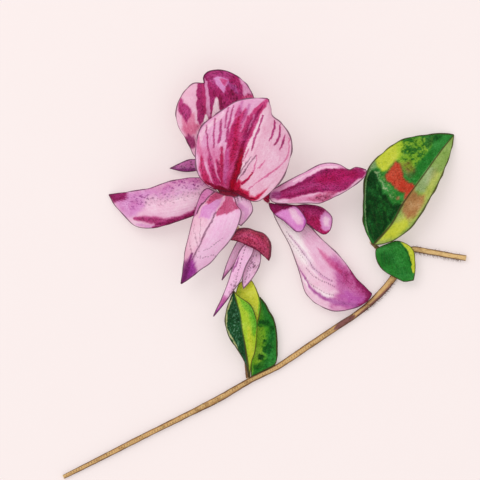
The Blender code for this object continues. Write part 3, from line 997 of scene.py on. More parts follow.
@dataclass(frozen=True, kw_only=True)
class Stalk:
    """A stalk along a smooth route of (x, y, z), with its radius at even steps."""

    node: str
    slot: str
    route: Points
    radii: Point
    ground: Tint
    # The tint of the painted shade on the stalk's lower side.
    below: Tint
    ridges: float = 0.03
    lumps: float = 0.05
    around: int = 22
    step: float = 0.22
    cap_inset: float = 0.12
    cap_depth: float = 0.05
    # How strongly the painted shade on the lower side is laid.
    underside_shade_strength: float = 0.75
    marks: Marks = ()
    hairs: Optional[HairCoat] = None
    hair_side: float = 0.0
    hair_spread: float = 0.5
    one_sided: float = 0.7
    hair_from: float = 0.01
    hair_to: float = 0.99
    hair_height: float = 0.25

    def sweep(self, turn: Array, share: Array) -> tuple[Array, Array, Array]:
        """Places points round the stalk.

        Args:
            turn: Angles round it, where 0 is its right side and a quarter turn is its top.
            share: Shares of its length.

        Returns:
            The points in plan millimetres, the directions out of the surface and the directions along it.
        """
        centre = along_route(self.route, share)
        front = along_route(self.route, np.minimum(share + LOOK_AHEAD, 1.0))
        ahead = front - along_route(self.route, np.maximum(share - LOOK_AHEAD, 0.0))
        ahead /= np.linalg.norm(ahead, axis=1)[:, None]
        side = np.column_stack([ahead[:, 1], -ahead[:, 0], np.zeros(len(ahead))])
        side /= np.linalg.norm(side, axis=1)[:, None]
        out = np.cos(turn)[:, None] * side + np.sin(turn)[:, None] * np.cross(side, ahead)
        length = length_of(self.route)
        grain = Mottle(0.55, Seed.BARK_GRAIN).at(turn * 1.4 + 9, share * length * 0.35)
        lumps = Mottle(1.3, Seed.BARK_LUMPS).at(turn + 5, share * length)
        radius = along_steps(self.radii, share) * (1 + self.ridges * grain + self.lumps * lumps)
        return centre + out * radius[:, None], out, ahead

    def build(self, material: Material) -> bpy.types.Object:
        """Rolls a fine grid into the stalk, closes its ends, paints it and grows its hairs.

        Args:
            material: Its finish.

        Returns:
            The finished piece.
        """
        rows = max(12, round(length_of(self.route) / self.step))
        shape = bmesh.new()
        for layer in ("hair", "wood"):
            shape.verts.layers.float.new(layer)
        bmesh.ops.create_grid(shape, x_segments=self.around, y_segments=rows, size=1.0)
        grid = np.array([tuple(vertex.co) for vertex in shape.verts])
        turn, share = (grid[:, 0] + 1) * math.pi, (grid[:, 1] + 1) / 2
        points, _, _ = self.sweep(np.where(turn > FULL_TURN - 1e-6, 0.0, turn), share)
        world = to_world(points[:, 0], points[:, 1], np.maximum(points[:, 2], FLOOR_GAP))
        for vertex, place in zip(shape.verts, world):
            vertex.co = place
        bmesh.ops.remove_doubles(shape, verts=shape.verts, dist=WELD)
        self.close_ends(shape)
        bmesh.ops.recalc_face_normals(shape, faces=shape.faces)
        if self.hairs is not None:
            self.add_hairs(shape, self.hairs)
        piece = link_mesh(self.node + "_form", shape, material)
        self.paint(piece.data)
        return dress(piece, self.node)

    def close_ends(self, shape: bmesh.types.BMesh) -> None:
        """Fills both ends, sinks their middles a little and marks them as cut wood.

        Args:
            shape: The stalk's mesh.
        """
        wood = shape.verts.layers.float["wood"]
        ends = [edge for edge in shape.edges if edge.is_boundary]
        caps = bmesh.ops.holes_fill(shape, edges=ends, sides=0)["faces"]
        width, depth = self.cap_inset * MM, self.cap_depth * MM
        inset = bmesh.ops.inset_individual(shape, faces=caps, thickness=width, depth=depth)
        for face in (*caps, *inset["faces"]):
            for vertex in face.verts:
                vertex[wood] = 1.0

    def middle_height(self, x: Array, y: Array) -> Array:
        """Height of the stalk's middle over the surface, at the nearest place along it.

        Args:
            x: Points' X in plan.
            y: Points' Y in plan.

        Returns:
            Millimetres, one value for each point.
        """
        share = np.linspace(0.0, 1.0, STALK_STEPS)
        route = along_route(self.route, share)
        _, nearest = path_distance(x, y, route[:, :2])
        return np.interp(nearest, share, route[:, 2])

    def add_hairs(self, shape: bmesh.types.BMesh, coat: HairCoat) -> None:
        """Grows hairs at seeded places, mostly on one side of the stalk.

        Args:
            shape: The stalk's mesh.
            coat: The hairs.
        """
        rng = np.random.default_rng(NAME_SEED + len(self.node))
        turn = np.where(
            rng.uniform(0, 1, coat.count) < self.one_sided,
            rng.normal(self.hair_side, self.hair_spread, coat.count),
            rng.uniform(0, FULL_TURN, coat.count),
        )
        points, out, ahead = self.sweep(turn, rng.uniform(self.hair_from, self.hair_to, coat.count))
        keep = points[:, 2] > self.hair_height
        roots = to_world(points[keep, 0], points[keep, 1], points[keep, 2])
        coat.grow(shape, roots, out[keep], ahead[keep])

    def paint(self, mesh: bpy.types.Mesh) -> None:
        """Keeps the colours of skin, painted shade on the lower side, cut wood and hairs on the mesh.

        Args:
            mesh: The finished mesh.
        """
        place = read(mesh.vertices, "co", 3) / MM
        x, y = place[:, 0] + PLAN_CENTRE[0], place[:, 1] + PLAN_CENTRE[1]
        # Painted shade: points under the stalk's middle height are darkened with the below tint.
        low = smooth_step((0.94 - place[:, 2] / (2 * self.middle_height(x, y))) / 0.16)
        streaks = fractal(x, y, 1.2, Seed.BARK_STREAKS) * 0.07
        streaks = streaks + Mottle(3.0, Seed.BARK_TONE).at(x, y) * 0.06
        colour = self.ground.screen * (1 + streaks)[:, None]
        for mark in self.marks:
            colour = laid_over(colour, mark.tint, mark.cover(x, y) * mark.strength)
        colour = laid_over(colour, self.below, self.underside_shade_strength * low)
        for name, tint in (("wood", Tint.WOOD), ("hair", self.hairs.tint if self.hairs else self.ground)):
            colour = laid_over(colour, tint, read(mesh.attributes[name].data, "value"))
        store_skin(mesh, np.clip(colour, 0.0, 1.0), np.full(len(x), 1.0), np.zeros(len(x)))


@dataclass(frozen=True, kw_only=True)
class GreenStalk(Stalk):
    """A green stalk, painted brown on its lower side as shade."""

    slot: str = "green_stalk"
    ground: Tint = Tint.STALK
    below: Tint = Tint.BROWN


@dataclass(frozen=True, kw_only=True)
class Branch(GreenStalk):
    """A short branch of the flower stalk."""

    node: str = "flower_stalk"
    radii: Point = (0.45, 0.42, 0.42)


@dataclass(frozen=True, kw_only=True)
class Cup:
    """A calyx turned from (radius, height) pairs about its axis, with teeth along its rim."""

    node: str
    foot: Point
    axis: Point
    profile: Points
    tooth: float
    ground: Tint
    rim: int = 3
    teeth: int = 5
    around: int = 100
    steps: int = 56
    tooth_reach: float = 0.45
    tooth_curve: float = 0.8
    rib_height: float = 0.03
    rib_from: float = 0.8
    hair_radius: float = 0.5
    hair_reach: float = 1.6
    hairs: HairCoat = HairCoat(count=260, length=(0.18, 0.42))

    def build(self, material: Material) -> bpy.types.Object:
        """Spins the profile, draws its rim out into teeth, and adds ribs and hairs.

        Args:
            material: Its finish.

        Returns:
            The finished piece.
        """
        outline = ((0.0, 0.0), *self.profile, (0.0, self.profile[-1][1] - self.tooth))
        line = along_route(outline, np.linspace(0.0, 1.0, self.steps))
        shape = self.spun(line)
        place = np.array([tuple(vertex.co) for vertex in shape.verts]) / MM
        turn = np.arctan2(place[:, 1], place[:, 0])
        radius = np.hypot(place[:, 0], place[:, 1])
        rim = line[int(np.argmin(np.hypot(*(line - np.array(self.profile[self.rim])).T)))]
        away = np.hypot(radius - rim[0], place[:, 2] - rim[1])
        near = np.exp(-((away / self.tooth_reach) ** 2))
        tooth_share = np.abs(np.mod(turn * self.teeth / FULL_TURN, 1.0) * 2 - 1)
        point = 1 - 2 * tooth_share**self.tooth_curve
        place[:, 2] += self.tooth * near * -point
        ribs = self.rib_height * np.cos(2 * self.teeth * turn) * smooth_step(radius / self.rib_from)
        place[:, :2] *= (1 + ribs)[:, None]
        foot = to_world(*(np.array([value]) for value in self.foot))[0]
        world = (place * MM) @ np.array(turn_to(Vector(self.axis))).T + foot
        rim_layer = shape.verts.layers.float["rim"]
        for vertex, spot, share in zip(shape.verts, world, near):
            vertex.co = spot
            vertex[rim_layer] = share
        shape.normal_update()
        hairy = (radius > self.hair_radius) & (away < self.hair_reach)
        self.add_hairs(shape, [vertex for vertex, chosen in zip(shape.verts, hairy) if chosen])
        piece = link_mesh(self.node + "_form", shape, material)
        self.paint(piece.data)
        return dress(piece, self.node)

    def spun(self, line: Array) -> bmesh.types.BMesh:
        """Turns the profile into a closed shell about Z.

        Args:
            line: The profile's points, as radius and height.

        Returns:
            The shell, with its layers for hair and rim.
        """
        shape = bmesh.new()
        for layer in ("hair", "rim"):
            shape.verts.layers.float.new(layer)
        radii = np.maximum(line[:, 0], 0.0)
        radii[[0, -1]] = 0.0
        verts = [shape.verts.new((r * MM, 0.0, h * MM)) for r, h in zip(radii, line[:, 1])]
        edges = [shape.edges.new(pair) for pair in zip(verts, verts[1:])]
        bmesh.ops.spin(
            shape,
            geom=verts + edges,
            cent=(0, 0, 0),
            axis=(0, 0, 1),
            angle=FULL_TURN,
            steps=self.around,
            use_merge=True,
        )
        bmesh.ops.remove_doubles(shape, verts=shape.verts, dist=WELD)
        bmesh.ops.recalc_face_normals(shape, faces=shape.faces)
        shape.verts.ensure_lookup_table()
        return shape

    def add_hairs(self, shape: bmesh.types.BMesh, outside: list[bmesh.types.BMVert]) -> None:
        """Grows hairs at seeded points.

        Args:
            shape: The calyx's mesh.
            outside: The points that may carry one.
        """
        rng = np.random.default_rng(NAME_SEED + len(self.node))
        chosen = [outside[i] for i in rng.integers(0, len(outside), self.hairs.count)]
        roots = np.array([tuple(v.co) for v in chosen])
        normals = np.array([tuple(v.normal) for v in chosen])
        self.hairs.grow(shape, roots, normals, np.tile(np.array(self.axis, float), (len(roots), 1)))

    def paint(self, mesh: bpy.types.Mesh) -> None:
        """Keeps the colours of skin, rim and hairs on the mesh.

        Args:
            mesh: The finished mesh.
        """
        count = len(mesh.vertices)
        colour = np.tile(self.ground.screen, (count, 1))
        for name, tint, strength in (("rim", Tint.WINE, 0.4), ("hair", Tint.ROSE, 1.0)):
            colour = laid_over(colour, tint, read(mesh.attributes[name].data, "value") * strength)
        store_skin(mesh, colour, np.full(count, 1.0), np.zeros(count))


@dataclass(frozen=True)
class PetalFinish:
    """Soft petal skin: the painted pigment, fine lengthwise streaks, small cells and a thin dark rim."""

    rim: Tint = Tint.RIM
    rim_strength: float = 0.82
    rim_width: Point = (0.12, 0.28)
    roughness: float = 0.55
    streaks: float = 0.16

    def material(self) -> Material:
        """Builds the material.

        Returns:
            The material.
        """
        graph = Graph("petal_skin")
        paint, margin, vein = graph.skin()
        lengthwise = graph.noise(9.0, graph.place((14.0, 1.2, 1.0), surface=True), 5.0)
        blotches = graph.noise(2100.0, graph.place(), 4.0)
        skin = graph.cells(5200.0, graph.place())
        deeper = graph.shade(paint, (0.86, 0.62, 0.76))
        colour = graph.blend(paint, deeper, lengthwise, (0.45, 0.75), (0.0, self.streaks * 2))
        colour = graph.blend(colour, deeper, blotches, (0.5, 0.8), (0.0, 0.3))
        colour = graph.blend(colour, deeper, vein, (0.2, 1.0), (0.0, 0.14))
        colour = graph.blend(colour, self.rim.light, margin, self.rim_width, (self.rim_strength, 0.0))
        normal = graph.bump(lengthwise, 0.05, graph.bump(skin, 0.02))
        rough = graph.fit(blotches, (0.3, 0.7), (self.roughness - 0.08, self.roughness + 0.1))
        return graph.finish(colour, rough, normal, Sheen_Weight=0.03, Specular_IOR_Level=0.08)


@dataclass(frozen=True)
class LeafFinish:
    """Leaf skin: the painted greens, pale net between the veins, small cells and a brown rim."""

    rim: Tint = Tint.LEAF_RIM
    rim_strength: float = 0.82
    rim_width: Point = (0.12, 0.28)
    roughness: float = 0.5

    def material(self) -> Material:
        """Builds the material.

        Returns:
            The material.
        """
        graph = Graph("leaf_skin")
        paint, margin, vein = graph.skin()
        where = graph.place()
        net = graph.cells(1300.0, where, edges=True)
        grain = graph.noise(1600.0, where, 5.0)
        cells = graph.cells(5000.0, where)
        dark = graph.shade(paint, (0.5, 0.62, 0.5))
        light = graph.mix(0.06, paint, Tint.STRAW.light)
        colour = graph.blend(paint, dark, grain, (0.5, 0.7), (0.0, 0.5))
        colour = graph.blend(colour, light, net, (0.0, 0.09), (0.18, 0.0))
        colour = graph.blend(colour, light, vein, (0.3, 0.7), (0.0, 0.3))
        colour = graph.blend(colour, self.rim.light, vein, (0.78, 0.94), (0.0, 0.8))
        colour = graph.blend(colour, self.rim.light, margin, self.rim_width, (self.rim_strength, 0.0))
        normal = graph.bump(graph.fit(net, (0.0, 0.12), (0.0, 1.0)), 0.03, graph.bump(cells, 0.02))
        rough = graph.fit(grain, (0.3, 0.7), (self.roughness - 0.1, self.roughness + 0.12))
        return graph.finish(colour, rough, normal, Specular_IOR_Level=0.06)


@dataclass(frozen=True)
class BarkFinish:
    """Bark or green stalk skin: painted ground with lengthwise fibres, pale pores and fine cracks."""

    name: str
    fibres: float
    pores: float
    roughness: float

    def material(self) -> Material:
        """Builds the material.

        Returns:
            The material.
        """
        graph = Graph(self.name)
        paint = graph.attribute("paint", "Color")
        where = graph.place()
        fibre = graph.noise(1100.0, graph.place((0.55, 0.75, 2.2)), 6.0)
        patch = graph.noise(420.0, where)
        pore = graph.cells(640.0, where)
        dark = graph.shade(paint, (0.5, 0.42, 0.36))
        colour = graph.blend(paint, dark, fibre, (0.48, 0.72), (0.0, self.fibres))
        colour = graph.blend(colour, dark, patch, (0.55, 0.75), (0.0, 0.35))
        pale = graph.mix(0.5, colour, Tint.STRAW.light)
        colour = graph.blend(colour, pale, pore, (0.1, 0.2), (self.pores, 0.0))
        normal = graph.bump(graph.fit(pore, (0.08, 0.22), (1.0, 0.0)), 0.05, graph.bump(fibre, 0.07))
        return graph.finish(colour, self.roughness, normal, Specular_IOR_Level=0.1)


@dataclass(frozen=True)
class CalyxFinish:
    """Calyx skin: painted red with fine dark dots, ribs and a dull, slightly downy surface."""

    roughness: float = 0.62

    def material(self) -> Material:
        """Builds the material.

        Returns:
            The material.
        """
        graph = Graph("calyx_skin")
        paint, margin, vein = graph.skin()
        where = graph.place()
        dots = graph.cells(1750.0, where)
        grain = graph.noise(1900.0, where, 4.0)
        dark = graph.shade(paint, (0.45, 0.25, 0.4))
        colour = graph.blend(paint, dark, dots, (0.22, 0.45), (0.9, 0.0))
        colour = graph.blend(colour, dark, grain, (0.5, 0.75), (0.0, 0.4))
        colour = graph.blend(colour, dark, vein, (0.3, 1.0), (0.0, 0.3))
        colour = graph.blend(colour, Tint.WINE.light, margin, (0.15, 0.3), (0.8, 0.0))
        normal = graph.bump(grain, 0.05, graph.bump(dots, 0.03))
        return graph.finish(colour, self.roughness, normal, Sheen_Weight=0.08, Specular_IOR_Level=0.1)


MAIN_BANNER_PAINT: Marks = (
    Stroke(Tint.BLUSH, ((-5.5, 24), (-3, 30), (0, 36)), width=(3, 3.5, 1.5), strength=0.5),
    Stroke(Tint.PALE_PINK, ((0.5, 22), (2.8, 26), (3.2, 31)), width=(3, 4, 2), strength=0.4),
    Stroke(Tint.BLUSH, ((-14.2, 26), (-13.8, 31), (-9, 35.4)), width=(0.6, 1, 0.8), strength=0.6),
    Stroke(Tint.MAGENTA, ((-12.7, 33), (-12.7, 31), (-12.2, 27), (-11.3, 24)), width=(0.25, 0.45, 0.7),
        strength=0.8),
    Stroke(Tint.MAGENTA, ((-11, 34.2), (-11.1, 31), (-11.2, 28)), width=(0.3, 0.5, 0.3), strength=0.8),
    Stroke(Tint.MAGENTA, ((-9.6, 34.2), (-9.7, 32), (-10.1, 29.2)), width=(0.3, 0.6, 0.5), strength=0.8),
    Stroke(Tint.MAGENTA, ((-8.1, 36.5), (-8.5, 34.5), (-8.7, 32.4)), width=(0.3, 0.45, 0.3), strength=0.75),
    Stroke(Tint.MAGENTA, ((-6.9, 37), (-7.4, 34.8), (-8.1, 32.5), (-8.5, 29.3)), width=(0.3, 0.5, 0.7),
        strength=0.8),
    Patch(Tint.CERISE, ((-14.2, 23.4), (-14, 27.8), (-13.3, 25), (-12.7, 23.4), (-12.4, 26.4),
        (-11.6, 23.6), (-10.9, 23.2), (-10.6, 26), (-10.2, 23.6), (-9.7, 23.6), (-9.6, 27.8), (-9.2, 24),
        (-8.8, 21.5), (-7.6, 18.6), (-10, 19), (-12.6, 19.9), (-13.8, 21.2)), soft=0.6, strength=0.85),
    Patch(Tint.ROSE, ((-14.9, 27.6), (-9.4, 28.4), (-8.6, 21), (-13.6, 20.4)), soft=1.4, strength=0.55,
        cloud=0.3),
    Stroke(Tint.ROSE, ((-14.6, 30.5), (-14.5, 28.4), (-14.2, 26)), width=(0.4, 1.2, 0.8), strength=0.75,
        soft=0.9),
    Stroke(Tint.CRIMSON, ((-14, 26.2), (-13.7, 23.8), (-13, 20.8)), width=(0.3, 1.3, 1.5), strength=0.75,
        soft=0.8),
    Stroke(Tint.RASPBERRY, ((-12.3, 25.6), (-11.6, 23.4), (-10.8, 20.4)), width=(0.3, 1, 1.2), strength=0.7,
        soft=0.8),
    Stroke(Tint.RASPBERRY, ((-10.5, 25.6), (-10.2, 23.4), (-9.9, 20.4)), width=(0.3, 0.6, 0.7),
        strength=0.7, soft=0.8),
    Stroke(Tint.CRIMSON, ((-9.5, 27.8), (-9.5, 25.2), (-9.2, 20.4)), width=(0.5, 1.1, 1.1), strength=0.8,
        soft=0.8),
    Stroke(Tint.PINK, ((-12.9, 24.5), (-12.4, 22.5), (-11.4, 20.3)), width=(0.6, 0.4, 0.2), strength=0.75),
    Stroke(Tint.PINK, ((-11, 24.5), (-10.6, 22.5), (-9.9, 20.8)), width=(0.5, 0.35, 0.15), strength=0.7),
    Stroke(Tint.DARK_CRIMSON, ((-13, 20.4), (-10.5, 19.3), (-7.4, 18.3)), width=(0.5, 1.1, 0.8)),
    Patch(Tint.CERISE, ((-9.2, 21), (-8.9, 24), (-8.7, 27), (-8.2, 30), (-7.3, 33), (-6.7, 34.4),
        (-5.6, 37.2), (-5.1, 35.4), (-4.3, 36.6), (-3.5, 34.6), (-2.3, 36.4), (-1.4, 37.2), (0.5, 38.7),
        (0.75, 38.1), (-0.7, 35.6), (-1.8, 33.4), (-2.9, 30.4), (-3.8, 28.5), (-4.6, 26), (-5.3, 23.5),
        (-6.3, 20), (-7.4, 18.4)), soft=0.4, relief=0.12),
    Stroke(Tint.PURPLE_PINK, ((-8.2, 28.5), (-8.45, 25), (-8.9, 20.4)), width=(0.3, 1, 0.8), strength=0.65,
        soft=0.9),
    Stroke(Tint.RASPBERRY, ((-8.2, 28), (-7.2, 31.2), (-6.4, 34)), width=(0.5, 1.1, 0.5), strength=0.6,
        soft=0.9),
    Stroke(Tint.CRIMSON, ((-7.3, 25.5), (-6.6, 29), (-6.2, 32), (-5.7, 34.6)), width=(0.9, 1.3, 1, 0.4),
        strength=0.85, soft=0.8),
    Stroke(Tint.DARK_CRIMSON, ((-7.4, 19), (-6.5, 21.8), (-5.7, 24.6), (-5.2, 27), (-4.7, 29.4)),
        width=(1.4, 1.5, 1.6, 1.3, 0.4), strength=0.92, soft=0.5),
    Stroke(Tint.BRIGHT_CRIMSON, ((-6.9, 20.6), (-5.95, 23.4), (-5.2, 26.2)), width=(0.9, 0.9, 0.4),
        strength=0.7, soft=0.8),
    Stroke(Tint.DEEP_MAGENTA, ((-4.9, 28.4), (-3.9, 31.4), (-2.6, 34), (-0.6, 37)),
        width=(0.9, 1.1, 1, 0.4), strength=0.65, soft=0.8),
    Stroke(Tint.PURPLE_PINK, ((-5, 33.4), (-4.2, 35.4), (-3.4, 37.4)), width=(0.4, 0.8, 0.5), strength=0.6,
        soft=0.8),
    Stroke(Tint.PINK, ((-5.4, 31.4), (-4.6, 33.4), (-3.9, 35.2)), width=(0.2, 0.45, 0.3), strength=0.6,
        soft=0.7),
    Stroke(Tint.PURPLE_PINK, ((-6, 34.8), (-5.4, 36.4), (-5, 37.8)), width=(0.5, 0.9, 0.6), strength=0.55,
        soft=0.8),
    Stroke(Tint.PINK, ((-3.9, 31.4), (-3, 33.4), (-2.3, 35.2)), width=(0.15, 0.4, 0.25), strength=0.5,
        soft=0.7),
    Stroke(Tint.BLUSH, ((-6.1, 20.4), (-5.2, 23), (-4.45, 25.8), (-3.7, 28), (-2.8, 30.1), (-1.4, 33.2),
        (-0.3, 35.2)), width=(0.25, 0.35, 0.5, 0.5, 0.35, 0.25), strength=0.9, relief=0.08),
    Stroke(Tint.MAGENTA, ((-0.4, 34.9), (-1.6, 31.5), (-2.2, 30), (-2.9, 27.6)), width=(0.3, 0.5, 0.3),
        strength=0.8),
    Stroke(Tint.MAGENTA, ((2.1, 33.9), (1.9, 32), (1.6, 31), (0.9, 29.4)), width=(0.35, 0.5, 0.3),
        strength=0.85),
    Stroke(Tint.MAGENTA, ((3.2, 33), (3.2, 31.5), (2.9, 30), (2.1, 28.5)), width=(0.35, 0.5, 0.35),
        strength=0.85),
    Stroke(Tint.MAGENTA, ((4.3, 30.8), (3.9, 28.9), (3.1, 27.6)), width=(0.3, 0.5, 0.3), strength=0.8),
    Stroke(Tint.ROSE, ((5, 30), (5.2, 28), (4.9, 26.3), (4.2, 25), (2.5, 23.5), (0.5, 21.7), (-2.3, 19.8),
        (-3.5, 19)), width=(0.2, 0.32, 0.35, 0.25), strength=0.85),
    Stroke(Tint.DUSK, ((-1.9, 26.3), (-3.8, 24), (-4.9, 22.3), (-6, 20.8)), width=(0.2, 0.35, 0.2),
        strength=0.6),
    Stroke(Tint.ROSE, ((-1.8, 26.2), (-2.1, 24.5), (-2.4, 23.3), (-2.6, 22.7)), width=(0.2, 0.35)),
    Stroke(Tint.CRIMSON, ((-2.6, 22.7), (-3.6, 21.3), (-4.9, 20.1)), width=(0.3, 0.45, 0.6)),
    Stroke(Tint.ROSE, ((0.1, 25.3), (-0.8, 24), (-1.6, 23.3)), width=(0.2, 0.3, 0.15)),
    Stroke(Tint.ROSE, ((-3.5, 27.9), (-4.2, 26.2), (-4.7, 25)), width=(0.15, 0.3, 0.15)),
    Stroke(Tint.DUSK, ((-3, 26.2), (-3.9, 25), (-5.2, 23), (-6.2, 21.2)), width=(0.15, 0.3, 0.3),
        strength=0.5),
    Patch(Tint.BRIGHT_CRIMSON, ((-7.6, 21), (-6.2, 20.3), (-5.7, 21.2), (-5.1, 20.6), (-5.3, 19.2),
        (-4.8, 18.5), (-3.5, 18.6), (-3.3, 17.5), (-2.4, 17.3), (-1.6, 17.9), (0.6, 19.2), (-0.2, 18.2),
        (-1.2, 16.9), (-2.2, 16.3), (-3.4, 16.4), (-5.8, 17.5), (-7.5, 17.8)), soft=0.6, strength=0.9),
    Stroke(Tint.DARK_CRIMSON, ((-7.4, 18.5), (-5.6, 18), (-3.6, 17.2), (-1.9, 16.6)),
        width=(0.8, 0.6, 0.25)),
)
MAIN_WING_LEFT_PAINT: Marks = (
    Patch(Tint.BLUSH, ((-25.6, 14.2), (-22, 17), (-16.5, 18), (-14.6, 16.6), (-18, 14.4), (-22, 13.6)),
        soft=1.8, strength=0.55, cloud=0.4),
    Patch(Tint.PURPLE_PINK, ((-30, 18.6), (-24, 19.6), (-18, 21.6), (-13.6, 21.6), (-13, 20), (-17, 19.4),
        (-24, 17.9)), soft=2.2, strength=0.8, cloud=0.5),
    Patch(Tint.LILAC, ((-27, 18), (-22, 19), (-17, 20.4), (-13.6, 20), (-16, 18.2), (-22, 16.6)), soft=1.6,
        strength=0.7, cloud=0.6),
    Patch(Tint.LILAC, ((-33.2, 16.8), (-30, 18.2), (-24, 18.6), (-26.6, 16.7), (-26.4, 15.2), (-28.3, 13),
        (-30.5, 12.8), (-32.2, 14.8)), soft=1.4),
    Patch(Tint.PURPLE_PINK, ((-33.4, 16.8), (-30, 18.2), (-27.4, 18), (-27.8, 15.6), (-29.4, 13.6),
        (-31.2, 14)), soft=1.6, strength=0.4, cloud=0.7),
    Patch(Tint.DEEP_VIOLET, ((-31.6, 17.2), (-26, 18.4), (-24.6, 17.2), (-27.6, 15), (-30.4, 14.6)),
        soft=1.6, strength=0.6, specks=0.95),
    Patch(Tint.DEEP_MAGENTA, ((-34.8, 17.9), (-31, 18.4), (-30.3, 17.8), (-30.6, 16.8), (-31.6, 16.3),
        (-33.4, 16)), soft=0.9, strength=0.95),
    Patch(Tint.DEEP_VIOLET, ((-22, 19), (-20, 20.6), (-15, 21.6), (-12.6, 20.6), (-14, 19.4), (-17, 19.2)),
        soft=0.9, strength=0.85, specks=0.97),
    Patch(Tint.DUSK, ((-28, 17), (-22, 18.6), (-15, 19.6), (-14, 17.6), (-20, 15.6), (-27, 14.8)), soft=1,
        strength=0.28, specks=0.985),
    Dots(Tint.DUSK, ((-26.6, 15.4), (-22.4, 15.9), (-17, 17.4)), strength=0.3, size=0.16, count=22),
    Stroke(Tint.MAGENTA, ((-28.7, 12.4), (-25, 12.2), (-22, 11.75), (-19, 12.15), (-17, 13), (-15.3, 14),
        (-14.6, 15)), width=(0.6, 1.5, 1.6, 1.4, 0.7), soft=0.6, strength=0.85, relief=0.1),
    Stroke(Tint.DEEP_MAGENTA, ((-24, 11.2), (-19.2, 11.6), (-17, 12.5), (-15.2, 13.6), (-14.6, 14.7)),
        width=(0.6, 1.6, 1.9, 1.2), strength=0.95, soft=0.6),
    Stroke(Tint.LILAC, ((-28, 11.1), (-25.4, 10.8), (-23, 10.8)), width=(0.5, 0.7, 0.4), strength=0.6),
    Stroke(Tint.MAGENTA, ((-24.5, 10.6), (-21, 10.9), (-18, 11.9), (-15.4, 13.2)),
        width=(0.6, 1.2, 1.3, 0.9), strength=0.9, soft=0.8),
)
MAIN_WING_RIGHT_PAINT: Marks = (
    Stroke(Tint.DUSK, ((-6.1, 17.2), (-6, 16.1)), width=(0.3, 0.1), strength=0.7, steps=4),
    Stroke(Tint.DUSK, ((-5.3, 17.3), (-5.1, 16.3)), width=(0.3, 0.1), strength=0.7, steps=4),
    Stroke(Tint.DUSK, ((-4.4, 17.2), (-4.1, 16.4)), width=(0.25, 0.1), strength=0.6, steps=4),
    Stroke(Tint.LILAC, ((-5.8, 15.4), (-4.2, 14.2), (-4.4, 12.6)), width=(0.8, 1.1, 0.6), strength=0.6),
)
MAIN_KEEL_PAINT: Marks = (
    Patch(Tint.BLUSH, ((-13.2, 11.6), (-15.2, 12.8), (-16.8, 6), (-15.8, 4.8), (-13.8, 8.6)), soft=1.2,
        strength=0.5),
    Patch(Tint.LILAC, ((-14.3, 12.9), (-13.6, 15.2), (-11, 16.4), (-9.4, 16.9), (-10.1, 15), (-11.4, 13),
        (-12.4, 12.1)), soft=0.4),
    # Painted shade: this purple band along the keel's steep outer flank, widest at the throat, stands for
    # the shade on the side that falls away.
    Patch(Tint.PURPLE_PINK, ((-12.7, 19.6), (-11.2, 18.2), (-13, 16.5), (-14.3, 14.8), (-14.9, 13),
        (-15.6, 13.2), (-15.4, 16.5), (-14.2, 18.6)), soft=0.35, strength=0.9, specks=0.25),
    Stroke(Tint.DUSK, ((-11.2, 18.2), (-12.6, 16.9), (-14, 15.3), (-14.9, 13.4)), width=(0.25, 0.35, 0.25),
        strength=0.85, relief=-0.12),
    Patch(Tint.DUSTY_ROSE, ((-13, 15.8), (-12, 17.2), (-11, 18.1), (-9.5, 18.7), (-8.4, 18), (-9.2, 17.2),
        (-10, 16.7), (-11.3, 16.1), (-12.2, 15.7)), soft=0.35, strength=0.95),
    Patch(Tint.DUSTY_ROSE, ((-8.4, 18), (-7, 17.2), (-6.4, 15.4), (-5.7, 14.5), (-7, 14.1), (-8.2, 13.5),
        (-10.5, 12.8), (-10.8, 13.6), (-9.6, 15), (-8.9, 16.3)), soft=0.4, strength=0.9),
    Stroke(Tint.PALE_PINK, ((-8.6, 17.8), (-9.4, 16.4), (-10.3, 14.8), (-10.9, 13.7)),
        width=(0.2, 0.3, 0.2), strength=0.8),
    Stroke(Tint.DUSK, ((-10.8, 13.8), (-12, 11.5), (-13.5, 8.5), (-14.5, 6.3), (-15.9, 3.5)),
        width=(0.3, 0.32, 0.2), strength=0.6, relief=0.1),
    Stroke(Tint.BLUSH, ((-11.3, 13.8), (-12.6, 11.3), (-14.1, 8.3)), width=(0.3, 0.35, 0.2), strength=0.35),
    Patch(Tint.DEEP_VIOLET, ((-15.8, 4), (-15.3, 1.5), (-15.2, 0.5), (-16, -0.5), (-18.8, -2.5), (-18.6, 0),
        (-18, 2.8), (-16.8, 3.2)), soft=1.5, strength=0.85),
    Patch(Tint.VIOLET, ((-15.9, 3.2), (-15.2, 0.8), (-16.8, -0.8), (-17.2, 1)), soft=1, strength=0.8),
    Stroke(Tint.DEEP_VIOLET, ((-16, 4.6), (-16.8, 2.4), (-18.2, -1.4)), width=(0.3, 0.8, 0.9),
        strength=0.75, soft=0.8),
    Stroke(Tint.DUSK, ((-14, 12.2), (-14.3, 8.6), (-14.4, 5.2)), width=(0.12, 0.16, 0.1), strength=0.4),
    Stroke(Tint.DUSK, ((-15.7, 10.8), (-15.1, 8), (-14.8, 5.4)), width=(0.1, 0.16, 0.1), strength=0.35),
    Stroke(Tint.DUSK, ((-16.5, 7.4), (-16.3, 5.4), (-15.7, 3.6)), width=(0.1, 0.16, 0.1), strength=0.4),
    Dots(Tint.DUSK, ((-13.5, 5.5), (-12, 6.3), (-9.6, 8)), strength=0.7, size=0.22, count=10),
    Dots(Tint.DUSK, ((-15.2, 4), (-13, 4.1), (-11, 4.4)), strength=0.7, size=0.22, count=9),
)


